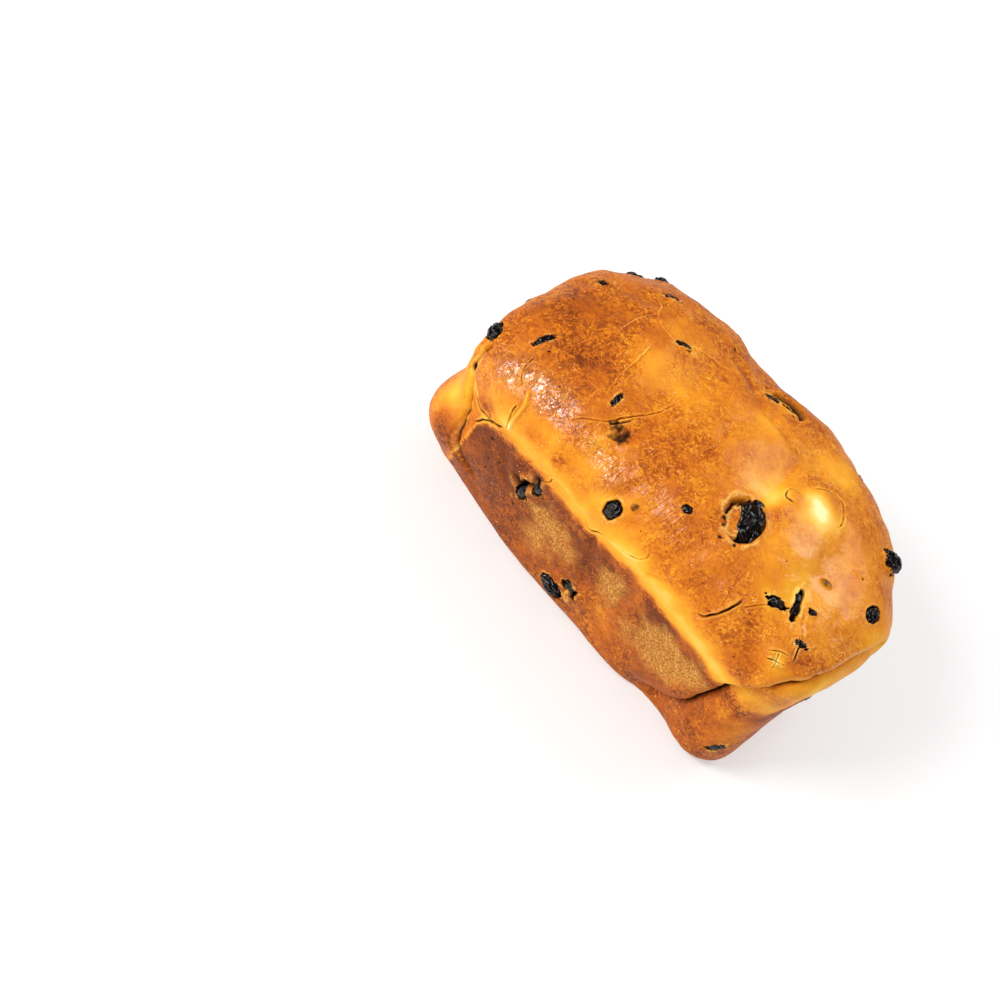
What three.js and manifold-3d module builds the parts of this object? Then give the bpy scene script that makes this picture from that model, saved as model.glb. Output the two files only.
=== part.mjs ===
// Raisin bread loaf: a small tin-baked loaf of sweet dough, rolled up and laid in its tin,
// with a domed crust that rose over the rim, coiled ends and raisins baked into the surface.
// Millimetres. +X runs along the loaf, +Y across it, +Z up; the origin is the middle of the flat base.

import * as THREE from 'three';
import { mergeVertices } from 'three/addons/utils/BufferGeometryUtils.js';
import Module from 'manifold-3d';

// ---------------------------------------------------------------- driving dimensions

// The tin gave the lower part its walls; the dome rose freely above the rim.
const BASE_HALF_LENGTH = 84.5;
const BASE_HALF_WIDTH = 41.5;
const WALL_TAPER = 0.10;        // outward lean of the tin's wall, mm per mm of height
const RIM_HEIGHT = 64;          // where the dough left the tin
const TOP_HEIGHT = 98;
const BASE_EDGE_RADIUS = 8;
const DOME_OVERHANG = 1.2;      // how far the dome swells past the rim
const END_SPREAD = 0.085;       // the -X end is wider than the +X end by this share each way

// Plan outline: a superellipse, square-cornered at the tin and rounder towards the crest.
const TIN_SQUARENESS = 5.2;
const CREST_SQUARENESS = 2.8;

// Section of the dome: exponents of its superellipse along and across the loaf.
const DOME_RISE = 0.9;
const LENGTH_PROFILE = [3.0, 2.6];
const WIDTH_PROFILE = [2.1, 2.1];
const OVERHANG_REACH = 0.8;     // share of the dome's height that the overhang takes

// Polar angles, from straight up, at which the form passes from dome to wall to base.
const RIM_ANGLE = THREE.MathUtils.degToRad(100);
const WALL_FOOT_ANGLE = THREE.MathUtils.degToRad(134);
const BASE_ANGLE = THREE.MathUtils.degToRad(142);

const SEAM_STEP = 5.0;          // width of the step from a seam's drop up to its lip
const FLAT_FOOT = 9;            // below this height relief fades to none up and down

// Mesh fineness.
const COARSE_EDGE = 10.4;       // on plain crust
const BASE_EDGE = 26;           // on the flat base
const FINE_EDGE = 2.4;          // along seams and cracks and in torn hollows
const BED_REACH = 0.75;         // radius of that fine stretch in a hollow, of the raisin's length
const FINE_GROWTH = 1.7;       // how fast the wanted edge grows away from them
const START_CELLS = [14, 8, 6];
const REFINE_PASSES = 6;
const EDGE_SLACK = 1.3;         // an edge is split when it is this much over the wanted length
const PATH_STEP = 1.5;          // between samples along a seam or crack
const SEAT_STEPS = 40;          // corrections made to bring a spot onto the crust
const SEAT_GAIN = 0.4;          // share of the miss that each correction takes up

const RAISIN_GAP = 0.42;        // clearance between a raisin and the crumb round it
const HOLLOW_MARGIN = 1.6;      // torn hollow beyond the raisin's own half length and width
const HOLLOW_FLOOR = 0.5;       // share of the hollow's radius that is its floor
const HOLLOW_SLOPE = 0.75;      // share of the radius that its side takes
const LARGE_RAISIN = 10;       // raisins longer than this get finer facets
const WRINKLE_DEPTH = 0.17;     // share of a raisin's radius

// ---------------------------------------------------------------- features of the crust

// Broad swells and hollows: centre, reach along X, Y and Z, and height (negative is a hollow).
const SWELLS = [
  { at: [16, 50, 76], reach: [32, 26, 24], height: 12.3 },    // right flank, spilled over the rim
  { at: [56, 46, 76], reach: [24, 24, 24], height: 5.5 },
  { at: [-36, 48, 78], reach: [20, 24, 24], height: 6.2 },
  { at: [-64, 46, 78], reach: [13, 18, 20], height: 2.6 },
  { at: [-88, -42, 25], reach: [18, 24, 19], height: 13.0 },  // coil end at the far corner
  { at: [-90, 4, 76], reach: [22, 30, 22], height: 1.4 },     // dome over the far end
  { at: [92, 4, 74], reach: [22, 34, 22], height: 3.6 },      // dome over the near end
  { at: [92, 36, 72], reach: [20, 16, 22], height: -6.5 },
  { at: [-90, 42, 80], reach: [16, 18, 24], height: -4.6 },
  { at: [82, -38, 10], reach: [16, 18, 26], height: 6.5 },    // coil end at the near corner
  { at: [54, -42, 4], reach: [10, 12, 18], height: -4.0 },    // notch in the base at the near seam
  { at: [-64, -46, 4], reach: [22, 14, 20], height: -5.0 },
  { at: [-26, 16, 98], reach: [9, 44, 26], height: -2.4 },    // valleys between the dough's turns
  { at: [24, 10, 98], reach: [8, 40, 24], height: -1.6 },
  { at: [62, -4, 92], reach: [8, 34, 22], height: -1.6 },
  { at: [-56, -4, 96], reach: [18, 30, 22], height: 1.6 },
  { at: [44, -6, 96], reach: [12, 26, 22], height: 1.2 },
  { at: [4, 44, 90], reach: [5, 5, 6], height: 2.6 },         // torn flap beside the slit
  { at: [6, -43, 22], reach: [5, 6, 7], height: 1.6 },        // bulge by the lowest raisin
  { at: [32, 7, 97], reach: [3.5, 3.5, 5], height: 1.3 },     // blisters
  { at: [42, 16, 96], reach: [7.5, 6.5, 6], height: 1.8 },
  { at: [76, -35, 80], reach: [5.5, 5.5, 5.5], height: 1.4 },
];

// Seams where a turn of dough laps over the next. The lip is on the left of the path's run,
// seen from outside; the dough on the right drops under it. Each fades at its two ends.
const SEAMS = [
  { // near end coil, on the shown side and over the end
    path: [[54, -40, 7], [58, -41, 24], [66, -41, 44], [70, -41, 60], [78, -41, 71], [86, -31, 77],
      [91, -17, 77], [92, -2, 76], [92, 14, 72]],
    lip: 2.2, lipReach: 7, drop: 4.4, dropReach: 7,
  },
  { // far end coil, on the shown side
    path: [[-86, -38, 79], [-82, -44, 70], [-80, -45, 57], [-72, -48, 48], [-67, -48, 38], [-62, -46, 18]],
    lip: 1.4, lipReach: 6, drop: 3.2, dropReach: 6,
  },
  { // near end coil, on the hidden side
    path: [[84, 36, 74], [76, 42, 60], [72, 42, 42], [68, 40, 22], [66, 38, 8]],
    lip: 1.6, lipReach: 6, drop: 2.8, dropReach: 6,
  },
  { // far end coil, on the hidden side
    path: [[-60, 49, 8], [-66, 51, 26], [-72, 52, 44], [-80, 50, 62], [-86, 40, 76]],
    lip: 1.6, lipReach: 6, drop: 2.6, dropReach: 6,
  },
];

// Open cracks and slits in the crust, cut as V-shaped grooves.
const CRACKS = [
  { path: [[45, -46, 76], [48, -44, 78], [50, -41, 81], [50, -35, 85]], depth: 2.4, halfWidth: 1.5 },
  { path: [[-78, -46, 57], [-70, -48, 56], [-63, -49, 57], [-56, -49, 62]], depth: 1.4, halfWidth: 1.4 },
  { path: [[0, -47, 54], [1, -45, 38], [3, -44, 28]], depth: 1.8, halfWidth: 3.0 },
  { path: [[62, -13, 92], [68, -22, 88], [77, -25, 85]], depth: 1.8, halfWidth: 1.6 },
];

// Raisins that show: the two ends of each one's long axis on the crust, its width and height,
// how far its middle lies below the crust, and the depth of the torn hollow that it sits in.
const SHOWN_RAISINS = [
  { ends: [[25, -8, 97], [36, -21, 94]], width: 12.0, height: 9.0, sink: 2.2, hollow: 3.0 },
  { ends: [[10, -31, 90], [16, -30, 91]], width: 4.5, height: 4.0, sink: 1.6, hollow: 0 },
  { ends: [[65, 33, 86], [73, 35, 79]], width: 9.0, height: 9.0, sink: 0.2, hollow: 0 },
  { ends: [[80, 4, 85], [80, 13, 84]], width: 7.0, height: 6.0, sink: 2.4, hollow: 2.4 },
  { ends: [[57, -26, 89], [63, -24, 89]], width: 5.0, height: 5.0, sink: 1.4, hollow: 1.4 },
  { ends: [[62, -15, 92], [68, -23, 88]], width: 5.0, height: 5.0, sink: 2.6, hollow: 2.0 },
  { ends: [[69, -16, 90], [72, -15, 89]], width: 3.6, height: 4.0, sink: 1.2, hollow: 0 },
  { ends: [[62, -5, 93], [68, -2, 91]], width: 4.6, height: 4.2, sink: 1.6, hollow: 0 },
  { ends: [[74, -27, 86], [79, -24, 84]], width: 4.0, height: 4.0, sink: 1.4, hollow: 0 },
  { ends: [[-8, 34, 92], [0, 36, 92]], width: 5.0, height: 5.0, sink: 2.6, hollow: 2.6 },
  { ends: [[3, 36, 92], [8, 36, 92]], width: 4.4, height: 4.4, sink: 2.4, hollow: 2.4 },
  { ends: [[-61, 27, 87], [-54, 32, 89]], width: 6.0, height: 5.0, sink: 1.2, hollow: 0 },
  { ends: [[-83, 34, 75], [-77, 41, 76]], width: 6.0, height: 5.0, sink: 0.8, hollow: 0 },
  { ends: [[-72, 42, 77], [-66, 48, 74]], width: 6.0, height: 5.0, sink: 0.8, hollow: 0 },
  { ends: [[-78, 9, 84], [-73, 13, 86]], width: 5.0, height: 4.4, sink: 1.4, hollow: 0 },
  { ends: [[-43, 12, 96], [-36, 17, 96]], width: 5.0, height: 4.6, sink: 1.6, hollow: 0 },
  { ends: [[-35, -28, 92], [-36, -22, 94]], width: 3.8, height: 4.0, sink: 1.4, hollow: 0 },
  { ends: [[-28, -32, 90], [-22, -32, 90]], width: 6.5, height: 5.0, sink: 2.6, hollow: 2.4 },
  { ends: [[-88, -28, 73], [-83, -37, 75]], width: 8.0, height: 7.0, sink: 1.6, hollow: 0 },
  { ends: [[-71, -31, 84], [-68, -23, 87]], width: 6.0, height: 5.0, sink: 1.8, hollow: 1.6 },
  { ends: [[-38, -48, 34], [-38, -48, 42]], width: 5.6, height: 5.4, sink: 2.2, hollow: 2.4 },
  { ends: [[-34, -49, 46], [-32, -49, 53]], width: 5.6, height: 5.4, sink: 2.2, hollow: 2.4 },
  { ends: [[-5, -50, 73], [-4, -45, 80]], width: 7.0, height: 6.0, sink: 1.6, hollow: 1.6 },
  { ends: [[-1, -45, 81], [1, -41, 84]], width: 4.4, height: 4.2, sink: 1.6, hollow: 0 },
  { ends: [[-12, -43, 12], [-1, -43, 11]], width: 8.0, height: 7.0, sink: 0.8, hollow: 1.4 },
  { ends: [[-3, -43, 20], [4, -44, 23]], width: 5.6, height: 5.4, sink: 2.4, hollow: 2.4 },
  { ends: [[80, -38, 16], [86, -35, 22]], width: 5.0, height: 4.6, sink: 1.6, hollow: 1.4 },
];

// The hidden sides get raisins like the shown ones: a direction from the loaf's middle, in turns
// round +Z from +X and degrees above the rim plane, with the long axis turned in the crust.
const HIDDEN_RAISIN_SPOTS = [
  { turn: 0.14, rise: -22, long: 9.0 },
  { turn: 0.19, rise: 6, long: 11.0 },
  { turn: 0.22, rise: -34, long: 7.0 },
  { turn: 0.26, rise: -12, long: 8.5 },
  { turn: 0.31, rise: 14, long: 7.5 },
  { turn: 0.34, rise: -28, long: 10.0 },
  { turn: 0.39, rise: -6, long: 8.0 },
  { turn: 0.47, rise: -26, long: 9.0 },
  { turn: 0.53, rise: 4, long: 7.0 },
  { turn: 0.96, rise: -18, long: 8.0 },
  { turn: 0.03, rise: -30, long: 9.5 },
];
const HIDDEN_RAISIN_WIDTH = 0.68;     // of the length
const HIDDEN_RAISIN_HEIGHT = 0.6;
const HIDDEN_RAISIN_SINK = 0.16;
const HIDDEN_RAISIN_TURN = 2.4;       // radians from each one's long axis to the next's

const CRUST = new THREE.MeshStandardMaterial({ color: 0xc4782a, roughness: 0.5, metalness: 0 });
const RAISIN_SKIN = new THREE.MeshStandardMaterial({ color: 0x17131a, roughness: 0.35, metalness: 0 });

// ---------------------------------------------------------------- form of the loaf

const CUBIC_HUMP = 27 / 4;      // brings the top of x(1 - x)^2 to one
const NORMAL_STEP = 2e-3;       // turn of the direction between the points that give a normal
const END_FADE_SHARE = 1 / 7;   // of a path's length, over which a seam or crack fades out
const RELIEF_REACH = 3;         // a seam's lip and drop are nought beyond this many of its reaches

const smoothStep = (x) => THREE.MathUtils.smoothstep(x, 0, 1);
const clamp01 = (x) => THREE.MathUtils.clamp(x, 0, 1);

/** Half length, half width and height of the loaf's outline at one polar angle. */
function outlineAt(polar) {
  if (polar <= RIM_ANGLE) {
    const rise = Math.cos((polar / RIM_ANGLE) * Math.PI / 2) ** DOME_RISE;
    const over = rise / OVERHANG_REACH;
    const hump = over < 1 ? CUBIC_HUMP * over * (1 - over) ** 2 * DOME_OVERHANG : 0;
    const rim = WALL_TAPER * RIM_HEIGHT + hump;
    const along = clamp01(1 - rise ** LENGTH_PROFILE[0]) ** (1 / LENGTH_PROFILE[1]);
    const across = clamp01(1 - rise ** WIDTH_PROFILE[0]) ** (1 / WIDTH_PROFILE[1]);
    return {
      halfLength: (BASE_HALF_LENGTH + rim) * along,
      halfWidth: (BASE_HALF_WIDTH + rim) * across,
      height: THREE.MathUtils.lerp(RIM_HEIGHT, TOP_HEIGHT, rise),
    };
  }
  if (polar <= WALL_FOOT_ANGLE) {
    const down = (polar - RIM_ANGLE) / (WALL_FOOT_ANGLE - RIM_ANGLE);
    const height = THREE.MathUtils.lerp(RIM_HEIGHT, BASE_EDGE_RADIUS, down);
    const lean = WALL_TAPER * height;
    return { halfLength: BASE_HALF_LENGTH + lean, halfWidth: BASE_HALF_WIDTH + lean, height };
  }
  const footLean = WALL_TAPER * BASE_EDGE_RADIUS;
  if (polar <= BASE_ANGLE) {
    const turn = ((polar - WALL_FOOT_ANGLE) / (BASE_ANGLE - WALL_FOOT_ANGLE)) * Math.PI / 2;
    const inset = footLean - BASE_EDGE_RADIUS * (1 - Math.cos(turn));
    return {
      halfLength: BASE_HALF_LENGTH + inset,
      halfWidth: BASE_HALF_WIDTH + inset,
      height: BASE_EDGE_RADIUS * (1 - Math.sin(turn)),
    };
  }
  const share = (Math.PI - polar) / (Math.PI - BASE_ANGLE);
  return {
    halfLength: (BASE_HALF_LENGTH + footLean - BASE_EDGE_RADIUS) * share,
    halfWidth: (BASE_HALF_WIDTH + footLean - BASE_EDGE_RADIUS) * share,
    height: 0,
  };
}

/** Point of the plain loaf, without relief, in a unit direction from its middle. */
function plainPoint(direction) {
  const { halfLength, halfWidth, height } = outlineAt(Math.acos(THREE.MathUtils.clamp(direction.z, -1, 1)));
  const azimuth = Math.atan2(direction.y, direction.x);
  const c = Math.cos(azimuth);
  const s = Math.sin(azimuth);
  const domeShare = smoothStep((height - RIM_HEIGHT) / (TOP_HEIGHT - RIM_HEIGHT));
  const power = THREE.MathUtils.lerp(TIN_SQUARENESS, CREST_SQUARENESS, domeShare);
  const radius = (Math.abs(c) ** power + Math.abs(s) ** power) ** (-1 / power);
  const x = halfLength * radius * c;
  const spread = 1 - END_SPREAD * x / BASE_HALF_LENGTH;
  return new THREE.Vector3(x, halfWidth * radius * s * spread, height);
}

/** Outward normal of the plain loaf, from two short steps round the direction. */
function plainNormal(direction) {
  const helper = Math.abs(direction.z) < 0.9 ? new THREE.Vector3(0, 0, 1) : new THREE.Vector3(1, 0, 0);
  const across = helper.cross(direction).normalize();
  const up = direction.clone().cross(across);
  const difference = (axis) => {
    const ahead = plainPoint(direction.clone().addScaledVector(axis, NORMAL_STEP).normalize());
    return ahead.sub(plainPoint(direction.clone().addScaledVector(axis, -NORMAL_STEP).normalize()));
  };
  return difference(across).cross(difference(up)).normalize();
}

/** Height of all broad swells at a point. */
function swellHeight(point) {
  let height = 0;
  for (const swell of SWELLS) {
    const dx = (point.x - swell.at[0]) / swell.reach[0];
    const dy = (point.y - swell.at[1]) / swell.reach[1];
    const dz = (point.z - swell.at[2]) / swell.reach[2];
    height += swell.height * Math.exp(-(dx * dx + dy * dy + dz * dz));
  }
  return height;
}

/** Moves a point out along a normal, holding the flat base down at its own level. */
function raise(point, normal, height) {
  const foot = smoothStep(point.z / FLAT_FOOT);
  point.x += normal.x * height;
  point.y += normal.y * height;
  point.z = Math.max(0, point.z + normal.z * height * foot);
  return point;
}

/** Crust before the finer relief: plain form and swells, with the plain form's normal. */
function swollenPoint(direction) {
  const point = plainPoint(direction);
  const normal = plainNormal(direction);
  return { point: raise(point, normal, swellHeight(point)), normal };
}

/** Place on the swollen crust nearest to a given spot, found by repeated correction. */
function onCrust(spot) {
  const scale = new THREE.Vector3(1 / BASE_HALF_LENGTH, 1 / BASE_HALF_WIDTH, 1 / RIM_HEIGHT);
  const direction = spot.clone().sub(new THREE.Vector3(0, 0, RIM_HEIGHT)).multiply(scale).normalize();
  let place = swollenPoint(direction);
  for (let i = 0; i < SEAT_STEPS; i += 1) {
    const miss = spot.clone().sub(place.point).multiply(scale);
    direction.addScaledVector(miss, SEAT_GAIN).normalize();
    place = swollenPoint(direction);
  }
  return place;
}

/** Evenly spaced points and tangents along a smooth path through the given spots on the crust. */
function samplePath(path) {
  const curve = new THREE.CatmullRomCurve3(path.map((p) => new THREE.Vector3(...p)), false, 'centripetal');
  const count = Math.max(8, Math.round(curve.getLength() / PATH_STEP));
  const samples = [];
  for (let i = 0; i <= count; i += 1) {
    const { point } = onCrust(curve.getPointAt(i / count));
    samples.push({ point, tangent: curve.getTangentAt(i / count), share: i / count });
  }
  return samples;
}

/** The sample of a path that lies nearest to a point, with its distance. */
function nearestSample(samples, point) {
  let best = samples[0];
  let distance = Infinity;
  for (const sample of samples) {
    const d = sample.point.distanceTo(point);
    if (d < distance) {
      distance = d;
      best = sample;
    }
  }
  return { ...best, distance };
}

/** Full strength along the middle of a path, fading out towards its two ends. */
const endFade = (share) => smoothStep(share / END_FADE_SHARE) * smoothStep((1 - share) / END_FADE_SHARE);

const seams = SEAMS.map((seam) => ({ ...seam, samples: samplePath(seam.path) }));
const cracks = CRACKS.map((crack) => ({ ...crack, samples: samplePath(crack.path) }));

/** Lip and drop of the seams at a point: a raised roll on one side, a step down on the other. */
function seamHeight(point, normal) {
  let height = 0;
  for (const seam of seams) {
    const near = nearestSample(seam.samples, point);
    if (near.distance > RELIEF_REACH * Math.max(seam.lipReach, seam.dropReach)) continue;
    const left = normal.clone().cross(near.tangent);
    const offset = point.clone().sub(near.point).dot(left);
    const lip = seam.lip * Math.exp(-near.distance / seam.lipReach);
    const drop = -seam.drop * Math.exp(-near.distance / seam.dropReach);
    const over = smoothStep(offset / SEAM_STEP + 0.5);
    height += THREE.MathUtils.lerp(drop, lip, over) * endFade(near.share);
  }
  return height;
}

/** Depth of the cracks at a point. */
function crackHeight(point) {
  let height = 0;
  for (const crack of cracks) {
    const near = nearestSample(crack.samples, point);
    height -= crack.depth * Math.exp(-((near.distance / crack.halfWidth) ** 2)) * endFade(near.share);
  }
  return height;
}

/** Torn hollows that some raisins sit in: elliptical dents with a flat floor and a sloping side. */
function hollowHeight(point, beds) {
  let height = 0;
  for (const bed of beds) {
    const away = point.clone().sub(bed.seat);
    if (bed.hollow === 0 || away.length() > bed.length * 2) continue;
    const along = away.dot(bed.axis) / (bed.length / 2 + HOLLOW_MARGIN);
    const across = away.dot(bed.side) / (bed.width / 2 + HOLLOW_MARGIN);
    const r = Math.hypot(along, across);
    height -= bed.hollow * (1 - smoothStep((r - HOLLOW_FLOOR) / HOLLOW_SLOPE));
  }
  return height;
}

/** Finished crust in one direction. */
function crustPoint(direction, beds) {
  const { point, normal } = swollenPoint(direction);
  return raise(point, normal, seamHeight(point, normal) + crackHeight(point) + hollowHeight(point, beds));
}

// ---------------------------------------------------------------- raisins

/** The frame of one raisin: where it sits on the crust, its long axis, side and outward normal. */
function raisinBed(spec) {
  const ends = spec.ends.map((p) => new THREE.Vector3(...p));
  const { point: seat, normal } = onCrust(ends[0].clone().add(ends[1]).multiplyScalar(0.5));
  const axis = ends[1].clone().sub(ends[0]);
  const length = axis.length();
  axis.addScaledVector(normal, -axis.dot(normal)).normalize();
  const side = normal.clone().cross(axis);
  return { ...spec, seat, normal, axis, side, length };
}

/** Ends of a hidden raisin's long axis, lying in the crust at its spot. */
function hiddenRaisin(spot, index) {
  const azimuth = spot.turn * Math.PI * 2;
  const rise = THREE.MathUtils.degToRad(spot.rise);
  const direction = new THREE.Vector3(
    Math.cos(azimuth) * Math.cos(rise), Math.sin(azimuth) * Math.cos(rise), Math.sin(rise),
  );
  const { point, normal } = swollenPoint(direction);
  const level = new THREE.Vector3(0, 0, 1).cross(normal).normalize();
  const axis = level.applyAxisAngle(normal, index * HIDDEN_RAISIN_TURN).multiplyScalar(spot.long / 2);
  return {
    ends: [point.clone().sub(axis).toArray(), point.clone().add(axis).toArray()],
    width: spot.long * HIDDEN_RAISIN_WIDTH,
    height: spot.long * HIDDEN_RAISIN_HEIGHT,
    sink: spot.long * HIDDEN_RAISIN_SINK,
    hollow: 0,
  };
}

/** A closed ball of facets, its shared vertices merged. */
function facetBall(detail) {
  const ball = new THREE.IcosahedronGeometry(1, detail);
  ball.deleteAttribute('normal');
  ball.deleteAttribute('uv');
  return mergeVertices(ball);
}

/** Wrinkled skin: the radius of a raisin in one direction, as a share of its full radius. */
function wrinkle(direction, seed) {
  const folds = Math.sin(direction.y * 5.1 + seed * 1.7 + 2.2 * Math.sin(direction.x * 2.3 + seed))
    + 0.7 * Math.sin(direction.z * 6.3 + direction.x * 3.1 + seed * 2.9);
  return 1 - WRINKLE_DEPTH * (0.5 + folds / 3.4);
}

/** A raisin, or with a margin and no wrinkles the socket that it sits in. */
function raisinGeometry(bed, seed, margin = 0) {
  const ball = facetBall(bed.length > LARGE_RAISIN ? 2 : 1);
  const position = ball.getAttribute('position');
  const centre = bed.seat.clone().addScaledVector(bed.normal, -bed.sink);
  const direction = new THREE.Vector3();
  for (let i = 0; i < position.count; i += 1) {
    direction.fromBufferAttribute(position, i).normalize();
    const radius = margin > 0 ? 1 : wrinkle(direction, seed);
    const point = centre.clone()
      .addScaledVector(bed.axis, direction.x * radius * (bed.length / 2 + margin))
      .addScaledVector(bed.side, direction.y * radius * (bed.width / 2 + margin))
      .addScaledVector(bed.normal, direction.z * radius * (bed.height / 2 + margin));
    position.setXYZ(i, point.x, point.y, point.z);
  }
  return ball;
}

// ---------------------------------------------------------------- mesh of the crust

/** Longest edge wanted at a point: short beside seams, cracks and raisins, long on the base. */
function wantedEdge(point, beds) {
  if (point.z < 0.01) return BASE_EDGE;
  let clearance = Infinity;
  for (const line of [...seams, ...cracks]) {
    clearance = Math.min(clearance, nearestSample(line.samples, point).distance);
  }
  for (const bed of beds.filter((each) => each.hollow > 0)) {
    clearance = Math.min(clearance, Math.max(0, bed.seat.distanceTo(point) - bed.length * BED_REACH));
  }
  return Math.min(COARSE_EDGE, FINE_EDGE + FINE_GROWTH * clearance);
}

/** Splits every triangle whose edges are too long, keeping neighbours joined edge to edge. */
function refine(directions, triangles, beds) {
  const points = directions.map((d) => swollenPoint(d).point);
  const middles = new Map();
  const middle = (a, b) => {
    const key = a < b ? `${a}_${b}` : `${b}_${a}`;
    if (!middles.has(key)) {
      const halfway = directions[a].clone().add(directions[b]).normalize();
      const long = points[a].distanceTo(points[b]);
      const between = points[a].clone().add(points[b]).multiplyScalar(0.5);
      const split = long > EDGE_SLACK * wantedEdge(between, beds);
      middles.set(key, split ? directions.push(halfway) - 1 : -1);
    }
    return middles.get(key);
  };
  const finer = [];
  for (const corners of triangles) {
    const cuts = corners.map((corner, i) => middle(corner, corners[(i + 1) % 3]));
    const count = cuts.filter((cut) => cut >= 0).length;
    if (count === 0) {
      finer.push(corners);
      continue;
    }
    // Turn the triangle so that its first edge is cut and, of two cut edges, its last is whole.
    let turn = cuts.findIndex((cut) => cut >= 0);
    if (count === 2) turn = (cuts.findIndex((cut) => cut < 0) + 1) % 3;
    const [a, b, c] = [0, 1, 2].map((i) => corners[(i + turn) % 3]);
    const [ab, bc, ca] = [0, 1, 2].map((i) => cuts[(i + turn) % 3]);
    if (count === 1) finer.push([a, ab, c], [ab, b, c]);
    if (count === 2) finer.push([ab, b, bc], [a, ab, bc], [a, bc, c]);
    if (count === 3) finer.push([a, ab, ca], [ab, b, bc], [ca, bc, c], [ab, bc, ca]);
  }
  return finer;
}

/** The whole crust as one closed mesh: a box grown into the loaf and refined where it has detail. */
function crustGeometry(beds) {
  const box = new THREE.BoxGeometry(2, 2, 2, ...START_CELLS);
  box.deleteAttribute('normal');
  box.deleteAttribute('uv');
  const start = mergeVertices(box);
  const directions = [];
  for (let i = 0; i < start.getAttribute('position').count; i += 1) {
    directions.push(new THREE.Vector3().fromBufferAttribute(start.getAttribute('position'), i).normalize());
  }
  let triangles = [];
  for (let i = 0; i < start.index.count; i += 3) {
    triangles.push([0, 1, 2].map((k) => start.index.getX(i + k)));
  }
  for (let pass = 0; pass < REFINE_PASSES; pass += 1) {
    triangles = refine(directions, triangles, beds);
  }
  const geometry = new THREE.BufferGeometry();
  const positions = directions.flatMap((d) => crustPoint(d, beds).toArray());
  geometry.setAttribute('position', new THREE.Float32BufferAttribute(positions, 3));
  geometry.setIndex(triangles.flat());
  return geometry;
}

// ---------------------------------------------------------------- joins and cuts

const wasm = await Module();
wasm.setup();

/** A closed mesh as a solid. */
function solidOf(geometry) {
  const vertProperties = Float32Array.from(geometry.getAttribute('position').array);
  const triVerts = Uint32Array.from(geometry.index.array);
  return new wasm.Manifold(new wasm.Mesh({ numProp: 3, vertProperties, triVerts }));
}

/** A solid back as a mesh. */
function geometryOf(solid) {
  const mesh = solid.getMesh();
  const geometry = new THREE.BufferGeometry();
  geometry.setAttribute('position', new THREE.Float32BufferAttribute(mesh.vertProperties, 3));
  geometry.setIndex(Array.from(mesh.triVerts));
  return geometry;
}

// ---------------------------------------------------------------- the loaf

const beds = [...SHOWN_RAISINS, ...HIDDEN_RAISIN_SPOTS.map(hiddenRaisin)].map(raisinBed);

let crumb = solidOf(crustGeometry(beds));
beds.forEach((bed, i) => {
  crumb = crumb.subtract(solidOf(raisinGeometry(bed, i, RAISIN_GAP)));
});

const loafMesh = new THREE.Mesh(geometryOf(crumb), CRUST);
loafMesh.name = 'loaf';

const bread = new THREE.Group();
bread.add(loafMesh);
beds.forEach((bed, i) => {
  const raisin = new THREE.Mesh(raisinGeometry(bed, i), RAISIN_SKIN);
  raisin.name = `raisin_${String(i + 1).padStart(2, '0')}`;
  bread.add(raisin);
});

export default bread;
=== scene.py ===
"""Raisin bread loaf: the looks of a small tin-baked loaf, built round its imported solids.

The crust and each raisin are closed meshes worked out in millimetres from the same named sizes as the
solids, with the finer relief and browning that the solids leave out, and turned to metres as they are made.
"""

import sys

import logging
import math
from dataclasses import dataclass, field
from enum import Enum
from functools import partial
from itertools import product
from typing import Callable

import bpy
import numpy as np
from mathutils import Matrix, Vector


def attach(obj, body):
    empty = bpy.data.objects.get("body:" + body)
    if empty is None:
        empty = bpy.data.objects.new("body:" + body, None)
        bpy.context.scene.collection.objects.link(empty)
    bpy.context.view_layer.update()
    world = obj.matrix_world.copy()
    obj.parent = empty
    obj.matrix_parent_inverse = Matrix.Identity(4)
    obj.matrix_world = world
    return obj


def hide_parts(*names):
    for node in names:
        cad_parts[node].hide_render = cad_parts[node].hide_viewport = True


LOG = logging.getLogger("raisin_bread")
Array = np.ndarray
Spot = tuple[float, float, float]

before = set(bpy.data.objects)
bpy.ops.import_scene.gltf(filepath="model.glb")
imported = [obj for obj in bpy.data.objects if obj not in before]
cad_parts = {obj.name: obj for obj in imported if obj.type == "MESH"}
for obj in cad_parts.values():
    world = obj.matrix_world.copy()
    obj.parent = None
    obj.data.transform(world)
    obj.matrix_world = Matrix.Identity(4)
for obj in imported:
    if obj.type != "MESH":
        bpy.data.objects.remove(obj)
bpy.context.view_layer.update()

MM = 0.001
PER_METRE = 1000.0
IMAGE_WIDTH = 1000.0  # pixels, square


# ------------------------------------------------------------------ numbers

def smooth_step(x: Array) -> Array:
    """Cubic ramp from 0 to 1 as x runs from 0 to 1."""
    t = np.clip(x, 0.0, 1.0)
    return t * t * (3.0 - 2.0 * t)


def mix(a: Array, b: Array, share: Array) -> Array:
    """Straight blend from a, at share 0, to b, at share 1."""
    return a + (b - a) * share


def unit(vectors: Array) -> Array:
    """Vectors along the last axis, scaled to length one."""
    return vectors / (np.linalg.norm(vectors, axis=-1, keepdims=True) + 1e-12)


def dot(a: Array, b: Array) -> Array:
    """Dot product along the last axis."""
    return np.sum(a * b, axis=-1)


def bell(points: Array, at: Spot, reach: Spot) -> Array:
    """Gaussian hump of unit height: exp of minus the squared distance, each axis over its own reach."""
    return np.exp(-np.sum(((points - np.array(at)) / np.array(reach)) ** 2, axis=-1))


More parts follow.
